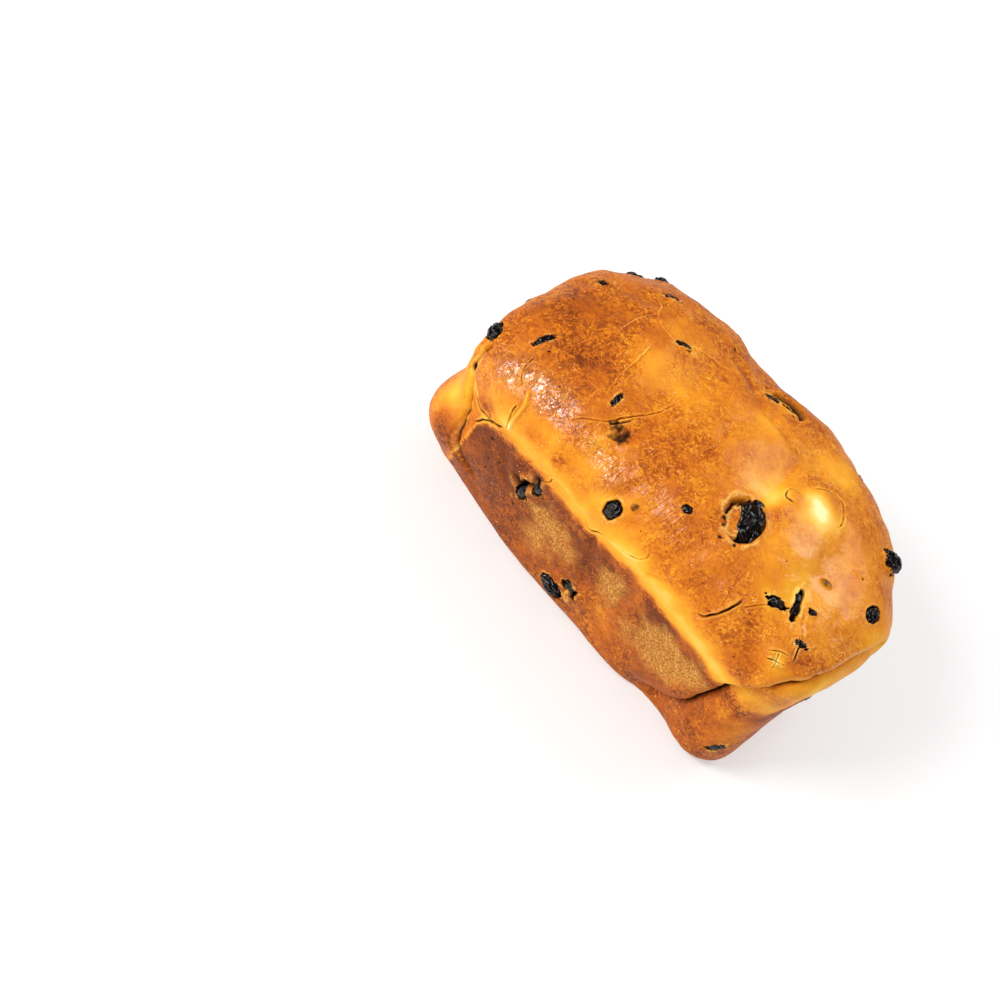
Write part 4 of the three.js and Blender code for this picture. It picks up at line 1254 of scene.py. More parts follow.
def add_attribute(made: bpy.types.Object, name: str, values: Array) -> None:
    """Stores one number for each vertex, for the finish to read."""
    attribute = made.data.attributes.new(name, "FLOAT", "POINT")
    attribute.data.foreach_set("value", values.astype(np.float32))


@dataclass
class Crust:
    """The whole crust as one closed mesh, finer beside seams, cracks, specks and raisins."""

    form: LoafForm
    beds: list[RaisinBed]
    start_cells: tuple[int, int, int] = (44, 26, 26)
    plain_edge: float = 2.1
    base_edge: float = 5.0
    growth: float = 0.6  # how fast the wanted edge grows away from fine places
    slack: float = 1.3
    passes: int = 6
    seams: list[tuple[Seam, CrustLine]] = field(init=False)
    cracks: list[tuple[Crack, CrustLine]] = field(init=False)
    speck_seats: Array = field(init=False)

    SPECK_EDGE = 0.45
    SPECK_REACH = 6.0
    BED_MARGIN = 4.0  # mm round a raisin where its edges are worked out
    ON_BASE = 0.01  # mm above the floor
    LUMP, LUMP_SIZE = 0.95, 26.0  # height and size of uneven lumps, mm
    RIPPLE, RIPPLE_SIZE = 0.42, 8.0
    WALL_SHARE = 0.45  # of the lumps that is left where the tin pressed the wall flat

    def __post_init__(self) -> None:
        """Lays the seams, cracks and specks on the form."""
        self.seams = [(seam, CrustLine(self.form, seam.spots, 0.5, 40 + i)) for i, seam in enumerate(SEAMS)]
        self.cracks = [(c, CrustLine(self.form, c.spots, c.wander, 60 + i)) for i, c in enumerate(CRACKS)]
        self.speck_seats = self.form.seat(np.array(SPECKS, float)[:, :3])[0]

    def box_grid(self) -> tuple[Array, Array]:
        """A box's six faces cut into cells, its shared edges merged.

        Returns:
            Unit directions of the corners, and triangles that face out.
        """
        corners, quads = [], []
        for axis, sign in product(range(3), (-1, 1)):
            a, b = (axis + 1) % 3, (axis + 2) % 3
            n, m = self.start_cells[a], self.start_cells[b]
            i, j = np.meshgrid(np.arange(n + 1), np.arange(m + 1), indexing="ij")
            face = np.zeros((n + 1, m + 1, 3), int)
            face[..., axis] = sign * self.start_cells[axis]
            face[..., a] = 2 * i - n
            face[..., b] = 2 * j - m
            first = sum(len(c) for c in corners)
            number = first + np.arange((n + 1) * (m + 1)).reshape(n + 1, m + 1)
            ring = [number[:-1, :-1], number[1:, :-1], number[1:, 1:], number[:-1, 1:]]
            quad = np.stack(ring, axis=-1).reshape(-1, 4)
            corners.append(face.reshape(-1, 3))
            quads.append(quad if sign > 0 else quad[:, ::-1])
        every = np.concatenate(corners)
        merged, inverse = np.unique(every, axis=0, return_inverse=True)
        quads = inverse.reshape(-1)[np.concatenate(quads)]
        triangles = np.concatenate([quads[:, [0, 1, 2]], quads[:, [0, 2, 3]]])
        return unit(merged / np.array(self.start_cells, float)), triangles

    def wanted_edge(self, points: Array) -> Array:
        """Longest edge wanted: the plain edge, less the nearer a fine place is, more on the base.

        Args:
            points: places in mm.

        Returns:
            Lengths in mm.
        """
        wanted = np.full(len(points), self.plain_edge)
        lines = [(line, seam.FINE_EDGE) for seam, line in self.seams]
        lines += [(line, crack.fine_edge) for crack, line in self.cracks]
        for line, fine in lines:
            index, distance, _ = line.near(points, (self.plain_edge - fine) / self.growth + 2 * fine)
            reach = fine + self.growth * np.maximum(0, distance - 2 * fine)
            wanted[index] = np.minimum(wanted[index], reach)
        for bed in self.beds:
            reach = bed.length + bed.spot.width + self.BED_MARGIN
            near = np.flatnonzero(np.linalg.norm(points - bed.seat, axis=1) < reach)
            fine = RaisinBed.FINE_EDGE + self.growth * bed.clearance(points[near])
            wanted[near] = np.minimum(wanted[near], fine)
        for seat in self.speck_seats:
            distance = np.linalg.norm(points - seat, axis=1)
            near = np.flatnonzero(distance < self.SPECK_REACH)
            fine = self.SPECK_EDGE + self.growth * np.maximum(0, distance[near] - 1.0)
            wanted[near] = np.minimum(wanted[near], fine)
        return np.where(points[:, 2] < self.ON_BASE, self.base_edge, wanted)

    def refined(self) -> tuple[Array, Array, Array, Array]:
        """Splits long edges at their middles, pass after pass, keeping neighbours joined edge to edge.

        Returns:
            Swollen points, plain normals, directions and triangles.
        """
        directions, triangles = self.box_grid()
        points, normals = self.form.swollen(directions)
        for _ in range(self.passes):
            pairs = np.stack([triangles, np.roll(triangles, -1, axis=1)], axis=-1)
            ends = np.sort(pairs.reshape(-1, 2), axis=1)
            count = len(points)
            keys, inverse = np.unique(ends[:, 0] * count + ends[:, 1], return_inverse=True)
            a, b = keys // count, keys % count
            long = np.linalg.norm(points[a] - points[b], axis=1)
            split = long > self.slack * self.wanted_edge((points[a] + points[b]) / 2)
            middle = np.full(len(keys), -1)
            middle[split] = count + np.arange(split.sum())
            halfway = unit(directions[a[split]] + directions[b[split]])
            new_points, new_normals = self.form.swollen(halfway)
            directions = np.concatenate([directions, halfway])
            points = np.concatenate([points, new_points])
            normals = np.concatenate([normals, new_normals])
            triangles = self.split(triangles, middle[inverse.reshape(-1)].reshape(-1, 3))
            if not split.any():
                break
        return points, normals, directions, triangles

    @staticmethod
    def split(triangles: Array, cuts: Array) -> Array:
        """New triangles where edges are cut at their middles.

        Args:
            triangles: vertex numbers, three to a row.
            cuts: number of the middle vertex of each edge, or -1 where the edge is whole.

        Returns:
            The triangles that take their place.
        """
        count = (cuts >= 0).sum(axis=1)
        turn = np.where(count == 2, (np.argmax(cuts < 0, axis=1) + 1) % 3, np.argmax(cuts >= 0, axis=1))
        order = (np.arange(3) + turn[:, None]) % 3
        a, b, c = np.take_along_axis(triangles, order, axis=1).T
        ab, bc, ca = np.take_along_axis(cuts, order, axis=1).T
        whole, one, two, three = (count == k for k in range(4))

        def rows(where: Array, *corners: Array) -> Array:
            """Triangles with the given corners where the mask holds."""
            return np.stack([corner[where] for corner in corners], axis=1)

        return np.concatenate([
            triangles[whole], rows(one, a, ab, c), rows(one, ab, b, c),
            rows(two, ab, b, bc), rows(two, a, ab, bc), rows(two, a, bc, c),
            rows(three, a, ab, ca), rows(three, ab, b, bc), rows(three, ca, bc, c), rows(three, ab, bc, ca),
        ])

    def uneven(self, points: Array) -> Array:
        """Lumps and ripples that no hand planned: layered noise, weaker on the wall that the tin pressed.

        Args:
            points: places in mm.

        Returns:
            Heights in mm.
        """
        noise = Noise(3)
        dome = smooth_step((points[:, 2] - 58) / 16)
        lumps = self.LUMP * noise.layered(points, self.LUMP_SIZE, 2)
        ripple = self.RIPPLE * noise.layered(points + 50, self.RIPPLE_SIZE, 2)
        return (lumps + ripple) * mix(self.WALL_SHARE, 1.0, dome)

    def build(self, material: bpy.types.Material) -> bpy.types.Object:
        """Makes the crust's mesh with its relief and looks.

        Args:
            material: the crust's finish.

        Returns:
            The piece that stands for the loaf.
        """
        points, normals, _, triangles = self.refined()
        fields = Fields.start(len(points))
        browning = Browning(self.form)
        browning.mark(points, normals, fields)
        fields.height += self.uneven(points)
        for seam, line in self.seams:
            seam.mark(line, points, normals, fields)
        for crack, line in self.cracks:
            crack.mark(line, points, fields)
        for bed in self.beds:
            bed.mark(points, fields)
        for flake in FLAKES:
            flake.mark(self.form, points, fields)
        browning.specks(self.speck_seats, points, fields)
        vertices = self.form.lift(points, normals, fields.height)
        made = make_object("loaf_crust", vertices, triangles, material)
        for name in Fields.LOOKS:
            add_attribute(made, name, np.clip(getattr(fields, name), 0, 1))
        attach(made, "root")
        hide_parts("loaf")
        return made


@dataclass
class Raisin:
    """One raisin: an ellipsoid whose skin has shrunk into folds, as a grid with closed poles."""

    bed: RaisinBed
    fold_share: float = 0.36  # size of the folds as a share of the raisin's width
    fold_depth: float = 0.30  # share of the radius
    fold_round: float = 0.42  # how far the noise runs from a valley to a fold's back
    crease_size: float = 1.5
    crease_depth: float = 0.05
    lump_depth: float = 0.05
    lump_size: float = 5.0

    LARGE = 10.0  # raisins longer than this get a finer grid
    FINE_GRID, PLAIN_GRID = (160, 96), (88, 52)  # turns by tilts
    LEAST_FOLD = 2.6  # mm
    STRETCH = (0.45, 1.0, 1.0)  # draws the folds out along the raisin
    WARP = 0.3  # share of the folds' size by which they stray
    CREASE_WIDTH = 0.2  # share of the noise's run that a crease takes

    def surface(self, places: Array) -> Array:
        """Share of the full radius at places on the ellipsoid, in mm along its axes.

        The folds are rounded like cushions: the square root of a warped noise's distance from nought, so that
        sharp valleys run where it crosses nought. Creases are thin valleys, and slow lumps take the oval out
        of round.

        Args:
            places: points on the full ellipsoid.

        Returns:
            Shares of at most one.
        """
        noise = Noise(900 + self.bed.number)
        fold_size = max(self.LEAST_FOLD, self.fold_share * self.bed.spot.width)
        warp = np.stack([noise(places + k, fold_size) for k in (0.0, 17.0, 34.0)], axis=1)
        warped = (places + self.WARP * fold_size * warp) * np.array(self.STRETCH)
        away = np.abs(noise(warped, fold_size)) / self.fold_round
        fold = 1 - np.sqrt(np.clip(away, 0, 1))
        crease = np.exp(-((noise(warped + 50, self.crease_size) / self.CREASE_WIDTH) ** 2))
        lump = noise(places + 70, self.lump_size)
        creased = self.crease_depth * crease * (1 - fold)
        return 1.0 - self.fold_depth * fold - creased - self.lump_depth * lump

    def build(self, material: bpy.types.Material) -> bpy.types.Object:
        """Makes the raisin's mesh in its bed.

        Args:
            material: the raisins' finish.

        Returns:
            The piece that stands for the raisin's solid.
        """
        spot = self.bed.spot
        turns, tilts = self.FINE_GRID if self.bed.length > self.LARGE else self.PLAIN_GRID
        turn = np.arange(turns) * 2 * math.pi / turns
        tilt = np.arange(1, tilts) * math.pi / tilts
        t, f = np.meshgrid(turn, tilt, indexing="ij")
        ring = np.stack([np.cos(f), np.sin(f) * np.cos(t), np.sin(f) * np.sin(t)], axis=-1).reshape(-1, 3)
        direction = np.concatenate([ring, [[1.0, 0, 0], [-1.0, 0, 0]]])
        full = direction * np.array([self.bed.length, spot.width, spot.height]) / 2
        axes = np.stack([self.bed.axis, self.bed.side, self.bed.normal])
        vertices = self.bed.centre + (self.surface(full)[:, None] * full) @ axes
        number = np.arange(len(ring)).reshape(turns, tilts - 1)
        after = np.roll(number, -1, axis=0)
        quads = np.stack([number[:, :-1], number[:, 1:], after[:, 1:], after[:, :-1]], axis=-1).reshape(-1, 4)
        first, last = len(ring), len(ring) + 1
        caps = np.concatenate([
            np.stack([np.full(turns, first), number[:, 0], after[:, 0]], axis=1),
            np.stack([np.full(turns, last), after[:, -1], number[:, -1]], axis=1),
        ])
        triangles = np.concatenate([quads[:, [0, 1, 2]], quads[:, [0, 2, 3]], caps])
        made = make_object(f"{self.bed.node}_skin", vertices, triangles, material)
        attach(made, "root")
        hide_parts(self.bed.node)
        return made


# ------------------------------------------------------------------ finishes

def linear(colour: str) -> tuple[float, float, float, float]:
    """An sRGB hex colour as linear light: below 0.04045 a straight line, above it a power of 2.4.

    Args:
        colour: six hex digits after a hash.

    Returns:
        Red, green, blue and an alpha of one.
    """
    parts = [int(colour[i:i + 2], 16) / 255 for i in (1, 3, 5)]
    light = [p / 12.92 if p <= 0.04045 else ((p + 0.055) / 1.055) ** 2.4 for p in parts]
    return (*light, 1.0)


def new_material(name: str) -> tuple[bpy.types.Material, bpy.types.NodeTree]:
    """An empty node material.

    Args:
        name: of the real finish.

    Returns:
        The material and its nodes.
    """
    material = bpy.data.materials.new(name)
    material.use_nodes = True
    material.node_tree.nodes.clear()
    return material, material.node_tree


def add(
    tree: bpy.types.NodeTree, kind: str, settings: dict | None = None, inputs: dict | None = None,
) -> bpy.types.Node:
    """Adds one node with its settings and links.

    Args:
        tree: the material's nodes.
        kind: Blender's name of the node type, less the ShaderNode that it starts with.
        settings: properties of the node.
        inputs: by socket name or number, a value, a socket to link, or a node whose first output is linked.

    Returns:
        The node.
    """
    made = tree.nodes.new("ShaderNode" + kind)
    for key, value in (settings or {}).items():
        setattr(made, key, value)
    for key, value in (inputs or {}).items():
        source = value.outputs[0] if isinstance(value, bpy.types.Node) else value
        if isinstance(source, bpy.types.NodeSocket):
            tree.links.new(source, made.inputs[key])
        else:
            made.inputs[key].default_value = source
    return made


def set_stops(ramp: bpy.types.ColorRamp, stops: tuple[tuple[float, str], ...]) -> None:
    """Gives a colour ramp its stops.

    Args:
        ramp: the ramp, as new.
        stops: places from 0 to 1 with hex colours.
    """
    while len(ramp.elements) < len(stops):
        ramp.elements.new(0.5)
    for element, (place, colour) in zip(ramp.elements, stops):
        element.position = place
        element.color = linear(colour)


NodeAdder = Callable[..., bpy.types.Node]
Patterns = dict[str, bpy.types.Node | bpy.types.NodeSocket]

# Settings of the nodes that work on numbers and colours.
SUM = {"operation": "ADD"}
LESS = {"operation": "SUBTRACT"}
REST = {"operation": "SUBTRACT", "use_clamp": True}
SIZE = {"operation": "ABSOLUTE"}
TIMES = {"operation": "MULTIPLY"}
TIMES_PLUS = {"operation": "MULTIPLY_ADD"}
GREATER = {"operation": "MAXIMUM"}
SMOOTH = {"interpolation_type": "SMOOTHSTEP"}
COLOURS = {"data_type": "RGBA"}
NUMBERS = {"data_type": "FLOAT"}
FACTOR, COLOUR_A, COLOUR_B, COLOUR_OUT = 0, 6, 7, 2  # sockets of a mix of colours
NUMBER_A, NUMBER_B = 2, 3  # sockets of a mix of numbers


@dataclass(frozen=True)
class CrustFinish:
    """Egg-washed crust of a sweet loaf: brown glaze mottled over gold, matte where the tin touched.

    Sizes of patterns and heights of relief are in mm.
    """

    name: str = "egg_washed_bread_crust"
    # Cream blister, pale gold, gold, orange gold, orange brown, brown and dark brown.
    browning: tuple[tuple[float, str], ...] = (
        (0.0, "#FFF0AC"), (0.14, "#FCCB58"), (0.30, "#F7AE2A"), (0.48, "#E68E1B"), (0.64, "#CF7014"),
        (0.80, "#AE5410"), (1.0, "#73340A"),
    )
    tan_light: str = "#F2B65E"
    tan_dark: str = "#B8641E"
    crumb_light: str = "#F8CE74"
    crumb_dark: str = "#D8923C"
    # dark colour of painted shade in cracks, crevices and holes, and of raisin skin seen through the crust
    inside: str = "#120804"
    # painted highlight: colour of the near-white glints
    painted_glint: str = "#FFF3DC"
    roughness: float = 0.56
    roughness_change: float = 0.16
    matte: float = 0.85
    ior: float = 1.45
    base_specular: float = 0.14  # bread crust is airy and mirrors less than a solid of its IOR
    glaze_roughness: float = 0.16
    glaze_ior: float = 1.75  # thick egg wash, burnished
    glaze_share: tuple[float, float] = (0.95, 0.06)  # how far gloss raises the glaze, and its least
    blot_size: float = 2.4
    curl_size: float = 2.6
    flock_size: float = 15.0
    cloud_size: float = 9.0
    grain_size: float = 1.5
    fibre_size: float = 2.4
    crumb_size: float = 0.8
    dot_spacing: float = 2.0
    glint_flock_size: float = 16.0
    plate_size: float = 2.4
    plate_stray: float = 4.4
    crease_stretch: tuple[float, float, float] = (1.8, 9.0, 9.0)
    wrinkle_height: float = 0.30
    bubble_height: float = 0.04
    crease_height: float = 0.75
    crackle_height: float = 0.42
    felt_height: float = 0.14
    cord_height: float = 0.07
    crumb_height: float = 0.5

    def patterns(self, node: NodeAdder) -> Patterns:
        """Places, looks and patterns that both the colour and the relief read.

        Curls and fibres are thin lines that run where a noise crosses its middle. Brown says where the glaze
        is dark enough to be mottled, in flocks. Felt is the grain of the dull patches with fibres over it.

        Args:
            node: adds a node to the material.

        Returns:
            Nodes and sockets by name.
        """
        place = node("TexCoord").outputs["Object"]
        mm = node("Mapping", None, {"Vector": place, "Scale": (PER_METRE,) * 3})
        found = {name: node("Attribute", {"attribute_name": name}).outputs["Fac"] for name in Fields.LOOKS}
        kinds = (("curls", self.curl_size, 0.04, 1.6), ("fibre", self.fibre_size, 0.05, 1.8))
        for name, size, width, twist in kinds:
            waves = node("TexNoise", None, {
                "Vector": mm, "Scale": 1 / size, "Detail": 1.0, "Distortion": twist,
            })
            away = node("Math", SIZE, {0: node("Math", LESS, {0: waves, 1: 0.5})})
            found[name] = node("MapRange", SMOOTH, {"Value": away, "From Min": width, "From Max": 0.0})
        dark = node("MapRange", SMOOTH, {
            "Value": found["bake"], "From Min": 0.36, "From Max": 0.66, "To Min": 0.12, "To Max": 1.0,
        })
        flocks = node("MapRange", SMOOTH, {
            "Value": node("TexNoise", None, {"Vector": mm, "Scale": 1 / self.flock_size}),
            "From Min": 0.36, "From Max": 0.60, "To Min": 0.35, "To Max": 1.0,
        })
        grain = node("TexNoise", None, {
            "Vector": mm, "Scale": 1 / self.grain_size, "Roughness": 0.6, "Distortion": 2.4,
        })
        grain = node("MapRange", SMOOTH, {"Value": grain, "From Min": 0.44, "From Max": 0.60})
        found["brown"] = node("Math", TIMES, {0: dark, 1: flocks})
        found["felt"] = node("Math", GREATER, {0: grain, 1: found["fibre"]})
        found["place"] = place
        found["mm"] = mm
        return found

    def baked(self, node: NodeAdder, found: Patterns) -> bpy.types.NodeSocket:
        """Colour of the baked crust: how brown it is, with the curly mottling of the glaze and slow clouds.

        Blots are 2 to 3 mm across with pale threads between, strongest where it is brown.

        Args:
            node: adds a node to the material.
            found: the shared patterns.

        Returns:
            The colour's socket.
        """
        blots = node("TexNoise", None, {
            "Vector": found["mm"], "Scale": 1 / self.blot_size, "Detail": 3.0, "Roughness": 0.65,
            "Distortion": 1.4,
        })
        blots = node("MapRange", SMOOTH, {"Value": blots, "From Min": 0.38, "From Max": 0.62})
        threads = node("Math", TIMES_PLUS, {0: found["curls"], 1: -0.26, 2: -0.07})
        speckle = node("Math", TIMES_PLUS, {0: blots, 1: 0.28, 2: threads})
        cloud = node("TexNoise", None, {
            "Vector": found["mm"], "Scale": 1 / self.cloud_size, "Detail": 4.0, "Roughness": 0.55,
        })
        cloud = node("Math", TIMES_PLUS, {0: cloud, 1: 0.34, 2: -0.17})
        mottled = node("Math", TIMES_PLUS, {0: speckle, 1: found["brown"], 2: found["bake"]})
        shade = node("ValToRGB", None, {"Fac": node("Math", SUM, {0: mottled, 1: cloud})})
        set_stops(shade.color_ramp, self.browning)
        return shade.outputs["Color"]

    def layered(self, node: NodeAdder, found: Patterns, colour: bpy.types.NodeSocket) -> bpy.types.NodeSocket:
        """Lays the dull tan bloom, torn crumb, painted shade in cracks and holes, and raisin dark over the baked
        colour.

        Args:
            node: adds a node to the material.
            found: the shared patterns.
            colour: what lies below.

        Returns:
            The colour's socket.
        """
        crumb = node("TexNoise", None, {"Vector": found["mm"], "Scale": 1 / self.crumb_size, "Detail": 3.0})
        crumb = node("MapRange", SMOOTH, {"Value": crumb, "From Min": 0.35, "From Max": 0.65})
        kinds = ((found["felt"], self.tan_dark, self.tan_light), (crumb, self.crumb_dark, self.crumb_light))
        tan, flesh = (
            node("Mix", COLOURS, {
                FACTOR: share, COLOUR_A: linear(dark), COLOUR_B: linear(light),
            }).outputs[COLOUR_OUT]
            for share, dark, light in kinds
        )
        # painted shade in cracks, crevices and holes, and raisin skin seen through, drawn in the dark colour
        pit = node("MapRange", SMOOTH, {"Value": found["pit"], "From Min": 0.12, "From Max": 0.85})
        tinned = node("Math", TIMES, {0: found["tin"], 1: 0.85})
        torn = node("Math", TIMES, {0: found["crumb"], 1: 0.8})
        for share, over in ((tinned, tan), (torn, flesh), (pit, linear(self.inside))):
            mixed = node("Mix", COLOURS, {FACTOR: share, COLOUR_A: colour, COLOUR_B: over})
            colour = mixed.outputs[COLOUR_OUT]
        return colour

    def dotted(self, node: NodeAdder, found: Patterns, colour: bpy.types.NodeSocket) -> bpy.types.NodeSocket:
        """Adds pores, dark pinholes in the glaze, and glints, painted highlights on its fine bubbles, one to a
        cell by luck.

        Real ones are about 0.2 mm across. They are drawn about 0.4 to 0.5 mm across so that they show.

        Args:
            node: adds a node to the material.
            found: the shared patterns.
            colour: what lies below.

        Returns:
            The colour's socket.
        """
        cells = node("TexVoronoi", None, {"Vector": found["mm"], "Scale": 1 / self.dot_spacing})
        luck = node("SeparateColor", None, {0: cells.outputs["Color"]})
        flock = node("TexNoise", None, {"Vector": found["mm"], "Scale": 1 / self.glint_flock_size})
        flock = node("MapRange", SMOOTH, {"Value": flock, "From Min": 0.44, "From Max": 0.58})
        bare = node("Math", TIMES, {
            0: node("Math", REST, {0: 1.0, 1: found["tin"]}),
            1: node("Math", REST, {0: 1.0, 1: found["pit"]}),
        })
        glint_places = node("Math", TIMES, {0: flock, 1: bare})
        # The second row paints highlights: near-white glints in flocks on the bare glaze.
        dots = (
            (0.18, 0.08, luck.outputs[1], 0.88, bare, 0.6, self.browning[-1][1]),
            (0.15, 0.07, luck.outputs[0], 0.62, glint_places, 0.7, self.painted_glint),
        )
        for outer, inner, draw, least, where, share, shade in dots:
            disc = node("MapRange", SMOOTH, {"Value": cells, "From Min": outer, "From Max": inner})
            drawn = node("MapRange", SMOOTH, {"Value": draw, "From Min": least, "From Max": least + 0.02})
            disc = node("Math", TIMES, {0: node("Math", TIMES, {0: disc, 1: drawn}), 1: where})
            disc = node("Math", TIMES, {0: disc, 1: share})
            mixed = node("Mix", COLOURS, {FACTOR: disc, COLOUR_A: colour, COLOUR_B: linear(shade)})
            colour = mixed.outputs[COLOUR_OUT]
        return colour

    def relief(self, node: NodeAdder, found: Patterns) -> bpy.types.NodeSocket:
        """Relief too fine for the mesh: wrinkles, bubbles, creases, crackle, grain, crumb and curls.

        The crackle is a net of thin grooves between warped plates, broken by a noise.

        Args:
            node: adds a node to the material.
            found: the shared patterns.

        Returns:
            The bumped normal's socket.
        """
        mm = found["mm"]
        wrinkle = node("TexNoise", None, {"Vector": mm, "Scale": 0.25, "Detail": 3.0, "Distortion": 0.8})
        bubble = node("TexNoise", None, {"Vector": mm, "Scale": 1 / 0.9, "Distortion": 0.8})
        drawn_out = tuple(PER_METRE / size for size in self.crease_stretch)
        drawn = node("TexNoise", None, {
            "Vector": node("Mapping", None, {"Vector": found["place"], "Scale": drawn_out}),
            "Scale": 1.0, "Distortion": 0.4,
        })
        warp = node("TexNoise", None, {"Vector": mm, "Scale": 0.5}).outputs["Color"]
        strayed = node("VectorMath", TIMES_PLUS, {0: warp, 1: (self.plate_stray,) * 3, 2: mm})
        plates = node("TexVoronoi", {"feature": "DISTANCE_TO_EDGE"}, {
            "Vector": strayed, "Scale": 1 / self.plate_size,
        }).outputs["Distance"]
        plates = node("MapRange", SMOOTH, {"Value": plates, "From Min": 0.0, "From Max": 0.10})
        breaks = node("TexNoise", None, {"Vector": mm, "Scale": 1 / 3.4})
        breaks = node("MapRange", SMOOTH, {"Value": breaks, "From Min": 0.36, "From Max": 0.60})
        net = node("Math", TIMES, {0: plates, 1: breaks})
        torn = node("TexNoise", None, {"Vector": mm, "Scale": 1 / 0.7, "Detail": 3.0})
        height = 0.0
        for pattern, depth, where in (
            (wrinkle, self.wrinkle_height, 1.0), (bubble, self.bubble_height, 1.0),
            (drawn, self.crease_height, found["crease"]), (net, self.crackle_height, found["crackle"]),
            (found["felt"], self.felt_height, found["tin"]), (torn, self.crumb_height, found["crumb"]),
            (found["curls"], self.cord_height, found["brown"]),
        ):
            part = node("Math", TIMES, {0: pattern, 1: where})
            height = node("Math", TIMES_PLUS, {0: part, 1: depth, 2: height})
        return node("Bump", None, {"Height": height, "Distance": MM, "Strength": 1.0}).outputs["Normal"]

    def build(self) -> bpy.types.Material:
        """Makes the node material.

        Returns:
            The finish, which reads the looks stored at the crust's vertices.
        """
        material, tree = new_material(self.name)
        node = partial(add, tree)
        found = self.patterns(node)
        colour = self.dotted(node, found, self.layered(node, found, self.baked(node, found)))
        normal = self.relief(node, found)
        dull = node("Math", GREATER, {0: found["tin"], 1: found["crumb"]})
        dull = node("Math", GREATER, {0: dull, 1: found["pit"]})
        sheen = node("Math", TIMES_PLUS, {
            0: node("TexNoise", None, {"Vector": found["mm"], "Scale": 0.2}),
            1: self.roughness_change, 2: self.roughness - self.roughness_change / 2,
        })
        rough = node("Mix", NUMBERS, {FACTOR: dull, NUMBER_A: sheen, NUMBER_B: self.matte})
        glaze = node("Math", TIMES_PLUS, {0: found["gloss"], 1: self.glaze_share[0], 2: self.glaze_share[1]})
        glaze = node("Math", TIMES, {0: glaze, 1: node("Math", REST, {0: 1.0, 1: dull})})
        shader = node("BsdfPrincipled", None, {
            "Base Color": colour, "Roughness": rough, "Normal": normal, "IOR": self.ior,
            "Specular IOR Level": self.base_specular, "Coat Weight": glaze,
            "Coat Roughness": self.glaze_roughness, "Coat IOR": self.glaze_ior, "Coat Normal": normal,
        })
        node("OutputMaterial", None, {"Surface": shader})
        return material


@dataclass(frozen=True)
class RaisinFinish:
    """Dried grape skin: nearly black, sticky and glossy on the folds, a little brown where it is thin."""

    name: str = "dried_grape_skin"
    dark: str = "#060405"
    thin: str = "#1C0E0A"
    gloss: tuple[float, float] = (0.16, 0.30)  # roughness of the dark skin and of the thin
    ior: float = 1.5
    patch_size: float = 2.2  # mm
    skin_size: float = 0.8
    skin_height: float = 0.05

    def build(self) -> bpy.types.Material:
        """Makes the node material: thin patches by one noise, fine wrinkles by another.

        Returns:
            The finish.
        """
        material, tree = new_material(self.name)
        node = partial(add, tree)
        place = node("TexCoord").outputs["Object"]
        mm = node("Mapping", None, {"Vector": place, "Scale": (PER_METRE,) * 3})
        patch = node("TexNoise", None, {"Vector": mm, "Scale": 1 / self.patch_size, "Detail": 3.0})
        colour = node("ValToRGB", None, {"Fac": patch})
        set_stops(colour.color_ramp, ((0.45, self.dark), (0.72, self.thin)))
        skin = node("TexNoise", None, {
            "Vector": mm, "Scale": 1 / self.skin_size, "Detail": 3.0, "Distortion": 1.0,
        })
        bump = node("Bump", None, {"Height": skin, "Distance": self.skin_height * MM, "Strength": 1.0})
        rough = node("MapRange", None, {
            "Value": patch, "From Min": 0.3, "From Max": 0.7,
            "To Min": self.gloss[0], "To Max": self.gloss[1],
        })
        shader = node("BsdfPrincipled", None, {
            "Base Color": colour, "Roughness": rough, "Normal": bump, "IOR": self.ior,
        })
        node("OutputMaterial", None, {"Surface": shader})
        return material


# ------------------------------------------------------------------ studio

@dataclass(frozen=True)
class Camera:
    """The photograph's view of the loaf, as angles round it and the pixel that its target falls on."""

    azimuth: float = 14.0
    elevation: float = 50.0
    roll: float = 39.5
    distance: float = 0.921
    target: tuple[float, float, float] = (0.0, 0.0, 0.045)
    pixel: tuple[float, float] = (669.0, 509.0)
    lens: float = 85.0
    sensor: float = 36.0

    def build(self) -> bpy.types.Object:
        """Makes the camera: aimed at the target and rolled, then turned to bring the target to its pixel.

        Returns:
            The scene's camera.
        """
        a, e, r = (math.radians(x) for x in (self.azimuth, self.elevation, self.roll))
        back = Vector((math.sin(a) * math.cos(e), -math.cos(a) * math.cos(e), math.sin(e)))
        right = Vector((0, 0, 1)).cross(back).normalized()
        up = back.cross(right)
        aimed = Matrix((right * math.cos(r) + up * math.sin(r), up * math.cos(r) - right * math.sin(r), back))
        focal = self.lens / self.sensor * IMAGE_WIDTH
        middle = IMAGE_WIDTH / 2
        seen = Vector(((self.pixel[0] - middle) / focal, (middle - self.pixel[1]) / focal, -1.0)).normalized()
        turn = Vector((0, 0, -1)).rotation_difference(seen).to_matrix()
        data = bpy.data.cameras.new("photo_camera")
        data.lens = self.lens
        data.sensor_width = self.sensor
        data.clip_start, data.clip_end = 0.05, 20.0
        made = bpy.data.objects.new("photo_camera", data)
        bpy.context.scene.collection.objects.link(made)
        made.matrix_world = (
            Matrix.Translation(Vector(self.target) + back * self.distance)
            @ (aimed.transposed() @ turn.transposed()).to_4x4()
        )
        bpy.context.scene.camera = made
        LOG.info("%s: lens %.0f mm", made.name, self.lens)
        return made


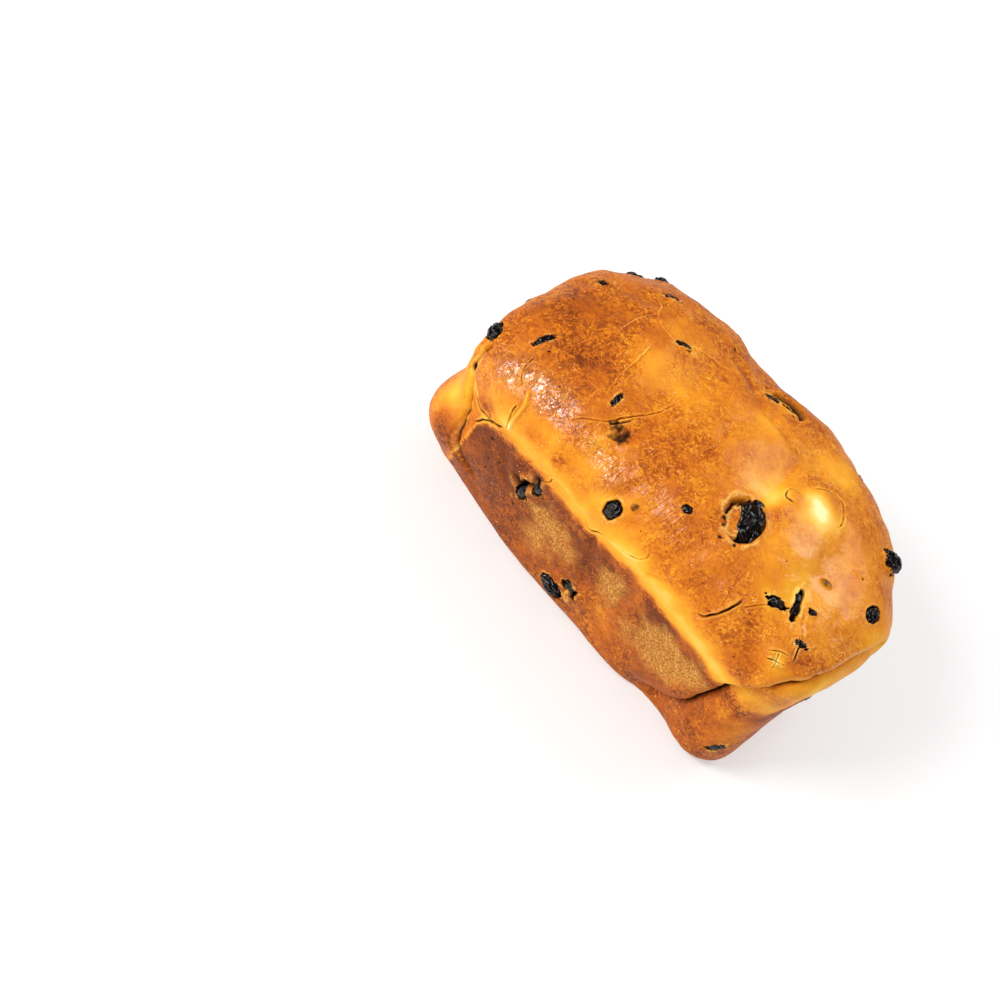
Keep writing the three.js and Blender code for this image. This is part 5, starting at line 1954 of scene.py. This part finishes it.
@dataclass(frozen=True)
class SoftBox:
    """A studio soft box: a square lamp that hangs in a direction from the loaf and faces it."""

    name: str
    direction: tuple[float, float, float]
    distance: float
    size: float
    power: float

    def build(self) -> None:
        """Hangs the lamp."""
        data = bpy.data.lights.new(self.name, "AREA")
        data.shape = "SQUARE"
        data.size = self.size
        data.energy = self.power
        made = bpy.data.objects.new(self.name, data)
        away = Vector(self.direction).normalized()
        made.location = away * self.distance
        made.rotation_mode = "QUATERNION"
        made.rotation_quaternion = away.to_track_quat("Z", "Y")
        bpy.context.scene.collection.objects.link(made)
        LOG.info("%s: %.1f W", self.name, self.power)


@dataclass(frozen=True)
class Studio:
    """A white sweep, three soft boxes and even light all round."""

    boxes: tuple[SoftBox, ...] = (
        SoftBox("key_box", (-0.35, -0.60, 0.76), 1.3, 0.34, 7.3),
        SoftBox("side_box", (-0.63, -0.61, 0.49), 1.3, 0.24, 3.9),
        SoftBox("back_box", (0.14, 0.66, 0.75), 1.5, 0.9, 6.8),
    )
    ambient: float = 0.59
    mirrored: float = 0.06  # share of it that reflections show: the studio's walls are dark
    floor_glow: float = 0.42  # the sweep is lit from below, as a light table is
    floor_half: float = 6.0  # m
    floor_drop: float = 0.0002  # m below the loaf's base
    floor_colour: str = "#CBCBCB"

    def build(self) -> None:
        """Lays the floor of matte white paper, hangs the lamps and lights the air."""
        material, tree = new_material("white_paper_sweep")
        shader = add(tree, "BsdfPrincipled", inputs={
            "Base Color": linear(self.floor_colour), "Roughness": 0.9, "Specular IOR Level": 0.1,
            "Emission Color": (1.0, 1.0, 1.0, 1.0), "Emission Strength": self.floor_glow,
        })
        add(tree, "OutputMaterial", inputs={"Surface": shader})
        h = self.floor_half / MM
        floor = make_object("floor", np.array([[-h, -h, 0], [h, -h, 0], [h, h, 0], [-h, h, 0]], float),
                            np.array([[0, 1, 2, 3]]), material)
        floor.location.z = -self.floor_drop
        for box in self.boxes:
            box.build()
        world = bpy.data.worlds.new("even_light")
        world.use_nodes = True
        tree = world.node_tree
        glossy = add(tree, "LightPath").outputs["Is Glossy Ray"]
        strength = add(tree, "MapRange", inputs={
            "Value": glossy, "To Min": self.ambient, "To Max": self.ambient * self.mirrored,
        }).outputs["Result"]
        sky = tree.nodes["Background"]
        sky.inputs["Color"].default_value = (1.0, 1.0, 1.0, 1.0)
        tree.links.new(strength, sky.inputs["Strength"])
        bpy.context.scene.world = world
        bpy.context.scene.view_settings.view_transform = "Standard"


def main() -> None:
    """Builds the loaf, its raisins and the studio."""
    logging.basicConfig(level=logging.INFO, format="%(message)s", stream=sys.stdout)
    form = LoafForm()
    spots = (*SHOWN_RAISINS, *HiddenRaisins().make(form))
    beds = [RaisinBed(form, spot, i + 1) for i, spot in enumerate(spots)]
    Crust(form, beds).build(CrustFinish().build())
    skin = RaisinFinish().build()
    for bed in beds:
        Raisin(bed).build(skin)
    LOG.info("raisins: %d", len(beds))
    Camera().build()
    Studio().build()


if __name__ == "__main__":
    main()
